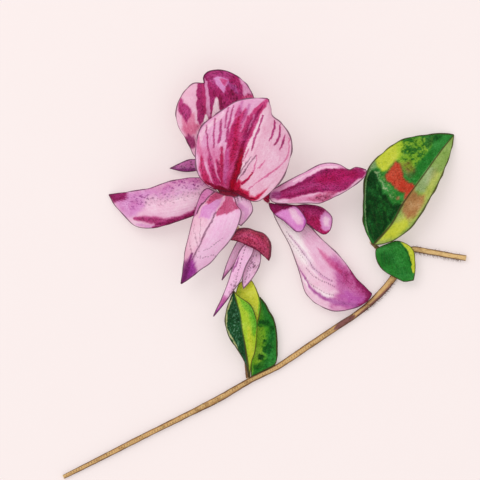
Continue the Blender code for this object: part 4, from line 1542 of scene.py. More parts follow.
@dataclass(frozen=True)
class OpenFlower:
    """The open flower: its banner, two wings, keel and calyx."""

    banner: Blade = Blade(
        node="main_banner", slot="pale_petal", base=(-7.3, 18.2), tip=(0.7, 38.7),
        left=((-11.5, 19), (-13, 19.9), (-14.7, 22.1), (-15.3, 25.2), (-15.2, 28.4), (-14.5, 31.5),
            (-13.2, 33.4), (-9.5, 36.1), (-6.2, 38.1), (-2.4, 38.8)),
        right=((-5.3, 17.4), (-3.1, 16.3), (-1.4, 16.2), (0.2, 17.2), (2.2, 19.1), (4, 21.6), (5.3, 24.6),
            (5.9, 28.4), (5.3, 30.8), (3.5, 33.4), (1.6, 34.9), (1.4, 36.3)),
        rib=((-6.2, 23.1), (-5.3, 27.3), (-3.5, 30.8), (-1.8, 34.8)),
        heights=(5.15, 8.2, 9.9, 12, 13.8),
        left_rise=(0.4, -0.3, -0.9, -0.7, 0), right_rise=(0.4, 0.2, -0.7, -1, 0),
        ground=Tint.PINK, right_ground=Tint.WARM_PINK,
        crown=1.1, frill=0.25, mottling=0.26, marks=MAIN_BANNER_PAINT,
    )
    wing_left: Blade = Blade(
        node="main_wing_left", slot="lilac_petal", base=(-9.3, 17.3), tip=(-34.5, 17.8),
        left=((-12.1, 13.9), (-15.2, 13.2), (-19.7, 11.7), (-22.4, 10.8), (-25.1, 10.3), (-27.5, 10.4),
            (-29, 11), (-31.1, 13.2), (-33, 15.2)),
        right=((-12.1, 20), (-14.7, 21.5), (-20.7, 20.7), (-25.7, 19.1), (-30.7, 18.3)),
        rib=((-15, 17.5), (-22, 16.2), (-29, 16)),
        heights=(5.2, 5.2, 5.4, 3.8, 0.1),
        left_rise=(0, -0.5, -1.2, -1.4, 0), right_rise=(0, -0.1, 0.4, 0.7, 0),
        ground=Tint.PALE_PINK,
        crown=0.4, veins=Veins(spacing=0.12, relief=0.05), marks=MAIN_WING_LEFT_PAINT,
    )
    wing_right: Blade = Blade(
        node="main_wing_right", slot="pale_petal", base=(-7.7, 16.4), tip=(-5.3, 10.8),
        left=((-5.9, 17.4), (-4, 17.1), (-3.1, 16.1), (-2.7, 14.3), (-3.7, 12.6)),
        right=((-7.9, 14.2), (-6.6, 11.8)),
        rib=((-5.9, 15.4), (-5, 13.2)),
        heights=(5, 5.5, 5.5, 5.1, 4.5),
        left_rise=(0, -0.3, -0.8, -0.6, 0), right_rise=(0, 0.1, 0.1, 0, 0),
        # Its ground is paled as painted light, against the shade of the keel and banner over it.
        ground=Tint.PAINTED_LIGHT_PINK,
        veins=Veins(spacing=0.2, relief=0.04), marks=MAIN_WING_RIGHT_PAINT,
    )
    keel: Blade = Blade(
        node="main_keel", slot="pale_petal", base=(-8.7, 17.5), tip=(-18.5, -2),
        left=((-6.9, 17.1), (-6.2, 15.4), (-5.3, 14.1), (-5.4, 12.8), (-6.2, 10.3), (-7.7, 7.7),
            (-9.9, 5.1), (-12.1, 2.6), (-14.3, 1.1), (-16.5, -0.7)),
        right=((-11.2, 18.4), (-12.7, 19), (-13.9, 18), (-14.7, 16.3), (-15.3, 14.3), (-16.1, 11.3),
            (-16.9, 8.1), (-17.6, 5.1), (-17.9, 2.4)),
        rib=((-10.1, 14.5), (-11.7, 12.3), (-12.8, 9.5), (-13.9, 7.5), (-15, 5.5), (-16.1, 3.9)),
        heights=(6.4, 10.6, 10.5, 8.4, 5),
        left_rise=(0, -2.4, -3, -2, 0), right_rise=(0, -2.9, -3.1, -2, 0),
        # Its left half's ground is paled as painted light, against the shade on its steep flank.
        ground=Tint.PAINTED_LIGHT_PINK, right_ground=Tint.WARM_PINK,
        bend=1.5, crown=0.3, veins=Veins(spacing=0.16, relief=0.05), marks=MAIN_KEEL_PAINT,
    )
    calyx: Cup = Cup(
        node="main_calyx", foot=(-7.9, 17.8, 2), axis=(0, 0, 1),
        profile=((0.8, 0), (1.5, 0.7), (2, 1.5), (2.2, 2.2), (1.6, 1.9)),
        ground=Tint.HOOD_RED,
        tooth=0.35,
    )


BACK_BANNER_PAINT: Marks = (
    Patch(Tint.MAGENTA, ((-18.4, 39), (-17.7, 37.9), (-16.9, 37.3), (-16.3, 36.5), (-16.2, 35.6),
        (-16.5, 34.5), (-17.2, 33.5), (-17.7, 34.2), (-18.6, 35.3), (-19, 36.2), (-19, 37.5)), soft=0.5,
        strength=0.9),
    Patch(Tint.CORAL_ROSE, ((-18.1, 34.5), (-16.9, 33.7), (-16.3, 35.4), (-15.5, 35.4), (-15.2, 33),
        (-14, 33), (-15.3, 31), (-17.2, 31), (-18.2, 32.2)), soft=0.7, strength=0.6),
    Patch(Tint.DEEP_MAGENTA, ((-16.8, 31.2), (-15.6, 30.6), (-15.2, 29), (-15.4, 28), (-16.5, 28),
        (-17.3, 28.8), (-17.8, 29.6), (-17.5, 30.6)), soft=0.7, strength=0.75),
    Patch(Tint.MAGENTA, ((-14.9, 42.2), (-13.2, 42.2), (-12.9, 39), (-13, 36), (-13.4, 34), (-14.2, 33),
        (-14.9, 34), (-15, 37)), soft=0.35, strength=0.95),
    Patch(Tint.MAGENTA, ((-13, 33), (-12, 35), (-12.4, 39), (-13, 43.8), (-11.4, 45.2), (-6, 44.2),
        (-1.6, 39), (-2, 34), (-8, 28)), soft=0.5),
    Patch(Tint.CERISE, ((-13.2, 45), (-6, 44.4), (-1.6, 38.6), (-6, 35.4), (-9.2, 36.4), (-11.4, 40)),
        soft=0.8, strength=0.5, cloud=0.9),
    Patch(Tint.DEEP_MAGENTA, ((-13, 44.8), (-8, 44.8), (-3.4, 41.4), (-2.2, 37.4), (-5.8, 34.6),
        (-9.6, 36.4), (-12.2, 40)), soft=0.9, strength=0.6, specks=0.8),
    Patch(Tint.PINK, ((-13.3, 43.4), (-12.7, 42.4), (-12.2, 38.6), (-12, 36), (-12, 35), (-12.6, 34.7),
        (-12.9, 36), (-13.1, 38)), soft=0.3, strength=0.85),
    Stroke(Tint.CERISE, ((-13.7, 42), (-13.4, 38.4), (-13.2, 35.6)), width=(0.5, 0.8, 0.4), strength=0.7,
        soft=0.6),
    Patch(Tint.WHITE, ((-10.8, 39.3), (-10.3, 39), (-10.1, 37.5), (-10, 36), (-11.2, 35), (-11.8, 34.9),
        (-11.4, 37.3)), soft=0.3, strength=0.85),
    Patch(Tint.WHITE, ((-13.3, 35.4), (-12.9, 35.2), (-12.5, 34.2), (-13.6, 33.2), (-13.5, 34.3)),
        soft=0.25),
    Patch(Tint.PURPLE, ((-13.2, 44.2), (-10.5, 45), (-7.4, 44.6), (-6.4, 43.9), (-7.9, 43.1), (-8.7, 41),
        (-9.1, 39.6), (-10.2, 41.2), (-12.2, 42.6)), soft=0.8, strength=0.3, cloud=0.4),
    Patch(Tint.LILAC, ((-11.4, 43.2), (-10.5, 43.8), (-7.9, 43.1), (-8.7, 41), (-9.1, 39.8), (-10.2, 41.2)),
        soft=0.4, strength=0.9),
    Patch(Tint.CERISE, ((-10, 43.3), (-8.2, 43), (-8.8, 41.3), (-9.4, 42)), soft=0.3, strength=0.9),
    Stroke(Tint.WINE, ((-9.9, 39.6), (-9.7, 37.6), (-9.4, 35.8)), width=(0.4, 1, 0.6), strength=0.5,
        soft=0.8),
    Stroke(Tint.WINE, ((-7.6, 40.4), (-6.6, 38.4), (-5.6, 36.4)), width=(0.5, 1.2, 0.8), strength=0.4,
        soft=0.9),
    Stroke(Tint.PURPLE, ((-8.3, 42.4), (-7, 41.2), (-6.2, 40)), width=(0.5, 1.3, 0.7), strength=0.6),
    Patch(Tint.PINK, ((-6.2, 44.4), (-4.9, 43.4), (-3.4, 41.9), (-2.2, 40), (-2.2, 39.4), (-4.6, 39.6),
        (-5, 40.1), (-4.9, 41.5), (-5.6, 42.7)), soft=0.5, strength=0.9),
    Stroke(Tint.CORAL_ROSE, ((-5, 39.3), (-3.6, 39.1), (-2.3, 39)), width=(0.5, 0.7, 0.6), strength=0.7),
)
BACK_WING_PAINT: Marks = (
    Stroke(Tint.PURPLE_PINK, ((-14.2, 24.7), (-16.4, 24.5), (-19, 24)), width=(1.1, 1.4, 0.7),
        strength=0.85),
    Stroke(Tint.DEEP_VIOLET, ((-14.6, 23.4), (-16.6, 23.2), (-19.4, 23.3)), width=(0.5, 0.7, 0.3),
        strength=0.6),
    Patch(Tint.DUSK, ((-13.6, 25.2), (-17.6, 25), (-20.6, 23.8), (-17.6, 22.9), (-14, 23.4)), soft=0.4,
        strength=0.8, specks=0.93),
)


@dataclass(frozen=True)
class BackFlower:
    """The flower half hidden behind the open one: its banner, one wing and its calyx."""

    banner: Blade = Blade(
        node="back_banner", slot="magenta_petal", base=(-11.2, 24.2), tip=(-13.3, 42.2),
        left=((-15.4, 26), (-16.9, 29), (-19, 32.4), (-19.6, 35.3), (-18.7, 38.9), (-16, 42)),
        right=((-8.1, 25.7), (-4.4, 30.8), (-2, 35.9), (-2.4, 38.9), (-4.2, 42.2), (-6.2, 43.8),
            (-8.8, 44.9), (-12.2, 44.8), (-13.5, 43.6)),
        rib=((-12, 30), (-12.3, 35.5), (-13, 39.5)),
        heights=(4.2, 5.3, 6.2, 6.6, 6.2),
        left_rise=(0, -0.6, -1.4, -1.6, 0), right_rise=(0, -0.5, -1.2, -1, 0),
        ground=Tint.WARM_PINK, right_ground=Tint.DEEP_MAGENTA,
        crown=0.8, frill=0.2, veins=Veins(spacing=0.1, relief=0.07), marks=BACK_BANNER_PAINT,
    )
    wing: Blade = Blade(
        node="back_wing", slot="lilac_petal", base=(-13.3, 24.6), tip=(-21, 23.5),
        left=((-14.2, 23.3), (-15.6, 22.9), (-17.8, 22.8)),
        right=((-14.5, 25.4), (-16, 25.5), (-17.8, 25)),
        rib=((-15.8, 24.3), (-18.5, 23.9)),
        heights=(2.9, 2.6, 2.1, 1.6, 1.1),
        left_rise=(0, -0.3, -0.5, -0.3, 0), right_rise=(0, -0.3, -0.5, -0.3, 0),
        ground=Tint.PURPLE,
        veins=Veins(spacing=0.25, relief=0.04), marks=BACK_WING_PAINT,
    )
    calyx: Cup = Cup(
        node="back_calyx", foot=(-11.8, 24, 1.75), axis=(0, 0.1, 1),
        profile=((0.6, 0), (1, 0.5), (1.2, 1.1), (1.3, 1.6), (0.9, 1.4)),
        ground=Tint.HOOD_RED,
        tooth=0.25,
    )


SIDE_BANNER_PAINT: Marks = (
    Patch(Tint.MAGENTA, ((1.3, 17), (3, 16.6), (5, 16.7), (7.5, 17.2), (9, 17.6), (11, 18.2), (13.5, 18.2),
        (15, 17.8), (18, 19), (19.2, 20), (20, 21), (21.3, 21.3), (22.1, 22.6), (21.3, 23.4), (20, 23.6),
        (18.7, 23), (17, 23.1), (15.5, 23.3), (13.2, 23.1), (12.5, 22.5), (10.5, 21.8), (9, 21), (7, 20),
        (5, 19.2), (3.5, 18.4), (1.8, 18.1)), soft=0.5),
    Patch(Tint.PURPLE, ((0.8, 16.9), (3.4, 16.9), (3.8, 18.2), (2.4, 18.6), (1, 18)), soft=0.8,
        strength=0.6),
    Stroke(Tint.DEEP_MAGENTA, ((3.6, 18.4), (7, 19.8), (10.5, 21.5), (13.2, 22.8), (16, 23), (19.4, 23)),
        width=(0.4, 0.7, 0.9, 0.6), strength=0.8),
    Stroke(Tint.DEEP_MAGENTA, ((4, 17.1), (8, 17.8), (12, 18.6), (16.4, 18.6)), width=(0.3, 0.5, 0.3),
        strength=0.7),
    Stroke(Tint.RASPBERRY, ((12, 20.9), (16, 21.6), (19.6, 21.9)), width=(1.6, 3, 1.8), strength=0.9,
        soft=0.8),
    Stroke(Tint.PURPLE_PINK, ((5, 18.2), (8.5, 19.2), (12, 20)), width=(0.8, 1.2, 0.6), strength=0.3,
        soft=0.9),
    Stroke(Tint.PINK, ((6.4, 16.6), (11, 16.7), (15, 17.6)), width=(0.6, 1.6, 1.4), strength=0.7, soft=0.9),
    Stroke(Tint.ROSE, ((5.4, 16.4), (7.4, 16.6), (9.6, 16.8)), width=(0.8, 1.3, 0.6), strength=0.4,
        soft=0.9),
    Patch(Tint.DUSTY_ROSE, ((9.2, 16.6), (11, 17.6), (13.6, 18.4), (16.2, 18.6), (14.8, 17.2),
        (12.4, 15.9)), soft=0.7, strength=0.8, cloud=0.4),
    Patch(Tint.WINE, ((10.4, 16.6), (12, 17.5), (15, 17.9), (13, 16.2)), soft=0.5, strength=0.6,
        specks=0.8),
    Stroke(Tint.BLUSH, ((6.4, 20.5), (10, 22.3), (13, 23.5), (16, 23.7)), width=(0.4, 0.5, 0.4),
        strength=0.6),
)
SIDE_WING_PAINT: Marks = (
    Patch(Tint.BLUSH, ((5, 14.6), (6.6, 14.5), (8, 12.5), (8.2, 11.3), (7.3, 11), (5.9, 12.5)), soft=0.7,
        strength=0.75),
    Patch(Tint.DEEP_MAGENTA, ((0.5, 16.5), (1.5, 16), (3, 15.8), (6, 15.7), (7, 15.3), (5.5, 14.6),
        (3.8, 14.2), (2.6, 13.7), (2, 13.4), (1, 14.4)), soft=0.5),
    Stroke(Tint.PURPLE, ((2.4, 13.2), (4.4, 11.9), (6.6, 10)), width=(0.3, 0.5, 0.3), strength=0.7),
    Stroke(Tint.VIOLET, ((8.4, 13.2), (8.8, 11.8), (8.4, 10.4)), width=(0.3, 0.5, 0.3), strength=0.5),
)
SIDE_TONGUE_PAINT: Marks = (
    Stroke(Tint.DEEP_MAGENTA, ((7.4, 15.2), (10.4, 15), (12.8, 14.2)), width=(0.4, 0.8, 0.4), strength=0.8),
    Patch(Tint.CERISE, ((6.4, 12.4), (8, 14.4), (11, 14), (12.2, 12), (12, 10), (14, 9.4), (13, 8.8),
        (11, 9.8)), soft=1, strength=0.4, cloud=0.4),
    Patch(Tint.LILAC, ((13.2, 14), (14.4, 13.4), (14.9, 11.8), (14.4, 10), (13.4, 9.6), (12.3, 10.4),
        (12, 12), (12.4, 13.3)), soft=0.5, strength=0.95),
    Patch(Tint.BLUSH, ((13.2, 13.2), (14.2, 12.4), (14, 10.8), (13, 10.8), (12.7, 12.2)), soft=0.7,
        strength=0.8),
)
SIDE_KEEL_PAINT: Marks = (
    Stroke(Tint.WHITE, ((2.6, 13.6), (5.4, 9.4), (8, 5.2), (10.4, 1.8), (11.8, -0.4)),
        width=(2.6, 4.2, 3.6, 2.2, 0.4), strength=0.95, soft=0.5),
    Patch(Tint.PINK, ((7.4, 10.6), (11.4, 9.8), (14.4, 6.8), (18, 2.8), (18, 0.4), (16, -3), (14.4, -3.6),
        (12.8, -0.8), (10.6, 3.4), (8.6, 7.4)), soft=2, strength=0.65),
    Patch(Tint.PALE_PINK, ((7, 1.6), (8.2, -1.8), (9, -4.2), (11, -6.4), (15.6, -8.2), (15, -6),
        (11.8, -4.2), (9.4, -1.2), (7.8, 2.2)), soft=0.6, strength=0.65),
    Patch(Tint.PALE_PINK, ((8, 2), (10.6, 2.4), (13.4, -0.4), (15.8, -3.6), (12.8, -3.6), (9.4, -1.2)),
        soft=1.6, strength=0.4),
    Stroke(Tint.WHITE, ((8.6, -1), (10.2, -2.9), (12.6, -4.2), (15.2, -5)), width=(0.5, 0.9, 0.8, 0.3),
        strength=0.75, soft=0.8),
    Patch(Tint.PURPLE_PINK, ((15.2, 4.4), (17.7, 2.2), (20.2, -0.5), (22.4, -2.5), (24.4, -4.3),
        (22.9, -6.6), (21, -7.4), (18, -8), (14.4, -7.2), (14.6, -5.2), (16, -4), (15.7, -2), (15.4, 0.8),
        (13.8, 3.4)), soft=1.8, strength=0.95),
    Patch(Tint.VIOLET, ((15.6, -5.2), (18, -3.4), (21.4, -4), (22.4, -5.4), (20.6, -7), (16.6, -7.2)),
        soft=1.6, strength=0.4, cloud=0.5),
    Patch(Tint.PINK, ((14.8, -7.6), (18, -7.9), (17.6, -7), (15, -6.6)), soft=0.6, strength=0.7),
    Patch(Tint.MAGENTA, ((15.8, 2.4), (17.8, 1.6), (20.6, -1.2), (22.6, -3.4), (21.4, -4.6), (19, -3.4),
        (16.6, -0.8)), soft=1.6, strength=0.5, cloud=0.5),
    Stroke(Tint.DEEP_MAGENTA, ((18.2, 1.9), (20.4, -1), (22.5, -3), (23.6, -4.3), (22.8, -5.8), (21, -6.7)),
        width=(0.3, 1, 2.1, 2.1, 0.8), strength=0.93, soft=0.8),
    Stroke(Tint.CERISE, ((11.6, 5.9), (13.3, 3.9), (15, 2.2), (16.8, 0.6)), width=(0.3, 1.2, 1.3, 0.6),
        strength=0.5, soft=0.9, relief=-0.15),
    Stroke(Tint.PURPLE, ((7.2, 2.8), (8.2, 0.6), (9.3, -1.5), (10.5, -3.2), (12.5, -4.7), (15, -5.8),
        (17.5, -6.3), (20, -6.6)), width=(0.12, 0.3, 0.85, 0.95, 0.9), strength=0.9, soft=0.7,
        relief=-0.12),
    Stroke(Tint.PURPLE, ((5.7, 8.6), (7, 6.8), (8.5, 5), (9.8, 3), (11, 1.2), (12.5, -0.2), (14.5, -1.2)),
        width=(0.4, 0.7, 0.8, 0.5), strength=0.25, soft=0.9),
    Dots(Tint.DUSK, ((5, 9.4), (7, 6.8), (9.8, 3), (11, 1.2), (14.5, -1.2)), strength=0.7, size=0.24,
        count=30),
    Dots(Tint.DUSK, ((4.7, 8.6), (6.6, 6.2), (8.6, 3.6), (9.6, 2)), strength=0.5, size=0.22, count=15),
    Dots(Tint.DUSK, ((9.3, 1.5), (10.5, 0), (12.5, -1.3), (15.4, -2.6)), strength=0.65, size=0.24,
        count=16),
    Dots(Tint.DUSK, ((8.9, -0.4), (10.6, -2.3), (12.6, -3.6), (15, -4.4)), strength=0.6, size=0.24,
        count=15),
)


@dataclass(frozen=True)
class SideFlower:
    """The flower seen from its side: its banner, a wing, a tongue, the long petal and its calyx."""

    banner: Blade = Blade(
        node="side_banner", slot="magenta_petal", base=(0.8, 17.3), tip=(22.3, 23.1),
        left=((1.4, 18.6), (2.6, 19.3), (6.2, 21.3), (9.9, 23.2), (12.2, 24.3), (14.3, 24.6), (16.5, 24.2),
            (18.5, 23.1), (20, 23.7)),
        right=((1.6, 16.1), (3.9, 15.7), (9.6, 15.8), (12.2, 15.8), (15.4, 17.2), (18.3, 18.7),
            (20.5, 20.4), (22, 21.7)),
        rib=((5, 18.2), (11, 20.1), (17, 21.6)),
        heights=(5.2, 7.4, 8.8, 9, 7.8),
        left_rise=(0, -0.6, -1.1, -1, 0), right_rise=(0, -0.4, -0.7, -0.6, 0),
        ground=Tint.PINK, right_ground=Tint.PALE_PINK,
        crown=0.4, veins=Veins(spacing=0.14, relief=0.06), marks=SIDE_BANNER_PAINT,
    )
    wing: Blade = Blade(
        node="side_wing", slot="lilac_petal", base=(0.8, 15.9), tip=(8.4, 9.9),
        left=((2.4, 15.6), (4, 15.3), (5.9, 15.4), (7.1, 14.9), (8.4, 13.4), (9.1, 11.7)),
        right=((1.1, 14.6), (2.2, 13.2), (4.2, 11.8), (5.5, 10.6), (6.8, 9.6), (7.8, 9.5)),
        rib=((3.4, 14), (5.5, 12.5), (7.2, 11)),
        heights=(4.8, 5.5, 6, 6, 5.6),
        left_rise=(0, -0.3, -0.5, -0.4, 0), right_rise=(0, -0.3, -0.5, -0.4, 0),
        ground=Tint.BRIGHT_LILAC,
        feather=0.1, veins=Veins(spacing=0.2, relief=0.05), marks=SIDE_WING_PAINT,
    )
    tongue: Blade = Blade(
        node="side_tongue", slot="magenta_petal", base=(2.1, 16), tip=(14.8, 11.2),
        left=((4.6, 15.7), (7, 15.4), (9.6, 15.5), (11.6, 15.2), (13.2, 14.5), (14.7, 12.8)),
        right=((3.6, 13.8), (6.6, 12.2), (9.4, 11.2), (11.4, 9.7), (13.2, 8.9), (14.3, 9.7)),
        rib=((6.2, 14.1), (10.2, 13.1), (13, 12)),
        heights=(3.5, 4.1, 4.6, 4.9, 4.8),
        left_rise=(0, -0.3, -0.7, -1, 0), right_rise=(0, -0.2, -0.5, -0.9, 0),
        ground=Tint.MAGENTA, right_ground=Tint.RASPBERRY,
        feather=0.12, veins=Veins(spacing=0.2, relief=0.05), marks=SIDE_TONGUE_PAINT,
    )
    keel: Blade = Blade(
        node="side_keel", slot="pale_petal", base=(1.5, 15.3), tip=(23.7, -4.2),
        left=((3.6, 14.4), (6.6, 12.8), (9.6, 11), (11.9, 8.6), (14.3, 6.3), (16.5, 4.2), (18.3, 2),
            (20.5, -1.1), (22.4, -2.9)),
        right=((1.9, 13.3), (3.5, 10.1), (5.6, 6.2), (7.5, 0.9), (8.2, -1.7), (8.9, -3.9), (11, -6.2),
            (14.1, -7.7), (15.8, -8), (18.3, -7.7), (20.5, -7), (22.4, -6)),
        rib=((4.6, 10.6), (8.2, 5.6), (12.4, 0.6), (18.4, -3.6)),
        heights=(2, 2.9, 3.8, 3.6, 2.3),
        left_rise=(0, -0.5, -1, -0.8, 0), right_rise=(0, -0.9, -1.9, -1.2, 0),
        ground=Tint.BLUSH,
        veins=Veins(spacing=0.13, relief=0.06), marks=SIDE_KEEL_PAINT,
    )
    calyx: Cup = Cup(
        node="side_calyx", foot=(-0.6, 18.1, 3.2), axis=(0.85, -0.55, 0.05),
        profile=((0.6, 0), (1, 0.6), (1.2, 1.4), (1.25, 2.1), (0.9, 1.9)),
        ground=Tint.CRIMSON,
        tooth=0.35,
    )


BUD_CALYX_PAINT: Marks = (
    Stroke(Tint.CORAL_ROSE, ((-5.8, 8.6), (-3.6, 8.6), (-1.4, 7.4), (0.2, 5.6)), width=(0.6, 1.2, 0.9),
        strength=0.7),
    Stroke(Tint.WINE, ((-7.4, 8.2), (-6, 9.7), (-3.6, 10.1), (-0.6, 9.1)), width=(0.5, 0.6, 0.5),
        strength=0.6),
    Stroke(Tint.WINE, ((0.8, 7.4), (1.1, 5.8), (0.9, 3.6)), width=(0.4, 0.5, 0.5), strength=0.6),
    Stroke(Tint.WINE, ((-6.4, 7.6), (-4.4, 6.8), (-2.2, 5.8), (-0.4, 4.4)), width=(0.3, 0.4, 0.4),
        strength=0.6),
)
BUD_PETAL_LEFT_PAINT: Marks = (
    Stroke(Tint.DEEP_VIOLET, ((-5.6, 5), (-6.6, 2.6), (-8.2, 0.4), (-9.4, -1.1)), width=(0.3, 0.5, 0.7),
        strength=0.6, specks=0.9),
    Stroke(Tint.PURPLE_PINK, ((-8.2, 1), (-8.9, -0.1), (-9.4, -1)), width=(0.3, 0.7, 0.8), strength=0.6),
)
BUD_PETAL_MIDDLE_PAINT: Marks = (
    Dots(Tint.DUSK, ((-4.2, 6.2), (-5.2, 3), (-6, 0.5), (-7, -3), (-9.4, -6.8)), strength=0.75, size=0.27,
        count=20, relief=0.03),
    Stroke(Tint.DEEP_VIOLET, ((-5.6, 4.4), (-6.2, 2.6), (-7.2, 0.8)), width=(0.15, 0.4, 0.2), strength=0.6,
        soft=0.8),
    Patch(Tint.DUSK, ((-6.6, 0), (-6, -2.4), (-8, -4.4), (-8.2, -2)), soft=0.8, strength=0.4, specks=0.97),
    Patch(Tint.PURPLE_PINK, ((-8, -5), (-9.2, -4.4), (-10.6, -7), (-11.8, -9.4), (-10.6, -8.6),
        (-9.2, -6.8)), soft=0.8, strength=0.95),
    Stroke(Tint.VIOLET, ((-9.4, -6.4), (-10.4, -7.9), (-11.3, -9.1)), width=(0.3, 0.6, 0.5), strength=0.8),
)
BUD_PETAL_RIGHT_PAINT: Marks = (
    Stroke(Tint.PALE_PINK, ((-1.6, 4.6), (-1.9, 2.4), (-2.8, 0.4)), width=(0.5, 0.9, 0.5), strength=0.7),
    Patch(Tint.DUSK, ((-1.8, 4.6), (-1.4, 2.4), (-3.4, -0.6), (-4.6, -1.8), (-3.6, 2)), soft=0.8,
        strength=0.75, specks=0.95),
    Dots(Tint.DUSK, ((-2.6, 4), (-3.6, 1.6), (-4.3, -1.6)), strength=0.7, size=0.26, count=11),
)


@dataclass(frozen=True)
class Bud:
    """The bud: a hooded calyx over three closed petals."""

    calyx: Blade = Blade(
        node="bud_calyx", slot="calyx", base=(-7.7, 7.7), tip=(0.8, 3.1),
        left=((-6.2, 9.9), (-4.6, 10.3), (-2, 9.7), (-0.2, 9), (0.9, 7.7), (1.3, 6.2), (1.2, 4.2)),
        right=((-6, 7.3), (-4.2, 6.6), (-2.4, 5.7), (-0.9, 4.6)),
        rib=((-5.6, 8.4), (-2.9, 7.6), (-0.5, 6.2)),
        heights=(3.6, 6, 6.6, 5.6, 3),
        left_rise=(0, -2.4, -2.8, -2.2, 0), right_rise=(0, 0, 0.1, 0, 0),
        ground=Tint.HOOD_RED,
        veins=Veins(spacing=0.3, relief=0.1), marks=BUD_CALYX_PAINT,
    )
    petal_left: Blade = Blade(
        node="bud_petal_left", slot="lilac_petal", base=(-5.4, 8.2), tip=(-9.5, -1.2),
        left=((-4.5, 7), (-4.8, 5.5), (-5.8, 4.2), (-7, 2), (-8.4, 0.2)),
        right=((-6.2, 7.3), (-7.5, 4.8), (-8.6, 2)),
        rib=((-6.4, 5.2), (-7.6, 2.4)),
        heights=(3.6, 3.2, 2.8, 2.4, 2),
        left_rise=(0, -0.2, -0.3, -0.2, 0), right_rise=(0, -0.2, -0.4, -0.3, 0),
        ground=Tint.BUD_PINK,
        veins=Veins(spacing=0.3, relief=0.04), marks=BUD_PETAL_LEFT_PAINT,
    )
    petal_middle: Blade = Blade(
        node="bud_petal_middle", slot="lilac_petal", base=(-3.7, 7.6), tip=(-11.4, -9.2),
        left=((-2.4, 5.7), (-4.2, 2), (-5.4, -1.3), (-7.1, -3.6), (-8.9, -6.2), (-10.7, -8.4)),
        right=((-5.4, 5.6), (-7.1, 1.7), (-8, -1.1), (-9.6, -5.3), (-10.7, -7.5)),
        rib=((-4.7, 4), (-6.7, -1), (-9.2, -5.8)),
        heights=(5.1, 5.2, 5.1, 4.7, 3.8),
        left_rise=(0, -0.3, -0.5, -0.4, 0), right_rise=(0, -0.3, -0.5, -0.4, 0),
        ground=Tint.BUD_PINK,
        veins=Veins(spacing=0.3, relief=0.05), marks=BUD_PETAL_MIDDLE_PAINT,
    )
    petal_right: Blade = Blade(
        node="bud_petal_right", slot="lilac_petal", base=(-1.6, 6.6), tip=(-4.8, -3.1),
        left=((-0.9, 4.6), (-1, 2.9), (-1.8, 0.9), (-2.9, -0.9)),
        right=((-2.9, 5.5), (-3.9, 3.1), (-4.7, 0.9), (-5, -1.3)),
        rib=((-2, 3.8), (-3.2, 0.4)),
        heights=(3.8, 3.9, 3.8, 3.5, 3.2),
        left_rise=(0, -0.3, -0.5, -0.3, 0), right_rise=(0, -0.2, -0.3, -0.2, 0),
        ground=Tint.BUD_PINK,
        veins=Veins(spacing=0.3, relief=0.04), marks=BUD_PETAL_RIGHT_PAINT,
    )


LEAFLET_FOLDED_PAINT: Marks = (
    # Painted shade: the deep green patch darkens the left half, the shaded side of the fold.
    Patch(Tint.DEEP_GREEN, ((-4.2, -18.4), (-6.4, -15.4), (-8.2, -11.4), (-8, -7), (-6.6, -5), (-5.6, -8.4),
        (-5, -13)), soft=0.8, strength=0.7),
    Patch(Tint.SAGE, ((-4.4, -17.6), (-6.4, -15), (-8, -11.4), (-7.8, -7), (-6.6, -5.6), (-5.8, -8.4),
        (-5.3, -13)), soft=0.8, strength=0.7, specks=0.95, speck_size=0.42),
    Patch(Tint.BRIGHT_GREEN, ((-2.6, -13.4), (-1.7, -11.6), (-2.2, -8.2), (-3.2, -6.6), (-5.8, -4.9),
        (-5.2, -6.6), (-3.6, -8.4)), soft=0.8, strength=0.8),
    Patch(Tint.GRASS, ((-2.2, -13.4), (-1.7, -11), (-2.3, -8), (-4.4, -5.5), (-3.4, -7.6), (-2.6, -9.6)),
        soft=0.5, strength=0.6),
    Stroke(Tint.STRAW, ((-4.1, -20.2), (-6.3, -15.6), (-8.2, -12), (-8.45, -9.6), (-8.15, -7.6),
        (-7.2, -4.9)), width=(0.25, 0.3, 0.25), strength=0.8),
    Stroke(Tint.YELLOW, ((-3.2, -19.4), (-3.2, -15.4), (-3.7, -11.6)), width=(0.6, 1.2, 0.6), strength=0.7,
        soft=0.8),
)
LEAFLET_YELLOW_PAINT: Marks = (
    Patch(Tint.LIME, ((-5.6, -6.6), (-3.4, -6), (-1.4, -8.6), (-3.8, -8.6)), soft=1.2, strength=0.6),
    Stroke(Tint.BRIGHT_GREEN, ((-1.3, -4.6), (-1.05, -6.6), (-1.3, -8.8)), width=(0.3, 0.7, 0.4),
        strength=0.8),
    Stroke(Tint.LIME, ((-5.8, -4.6), (-5.4, -2.6), (-4.4, -1.6)), width=(0.6, 0.8, 0.4), strength=0.6),
)
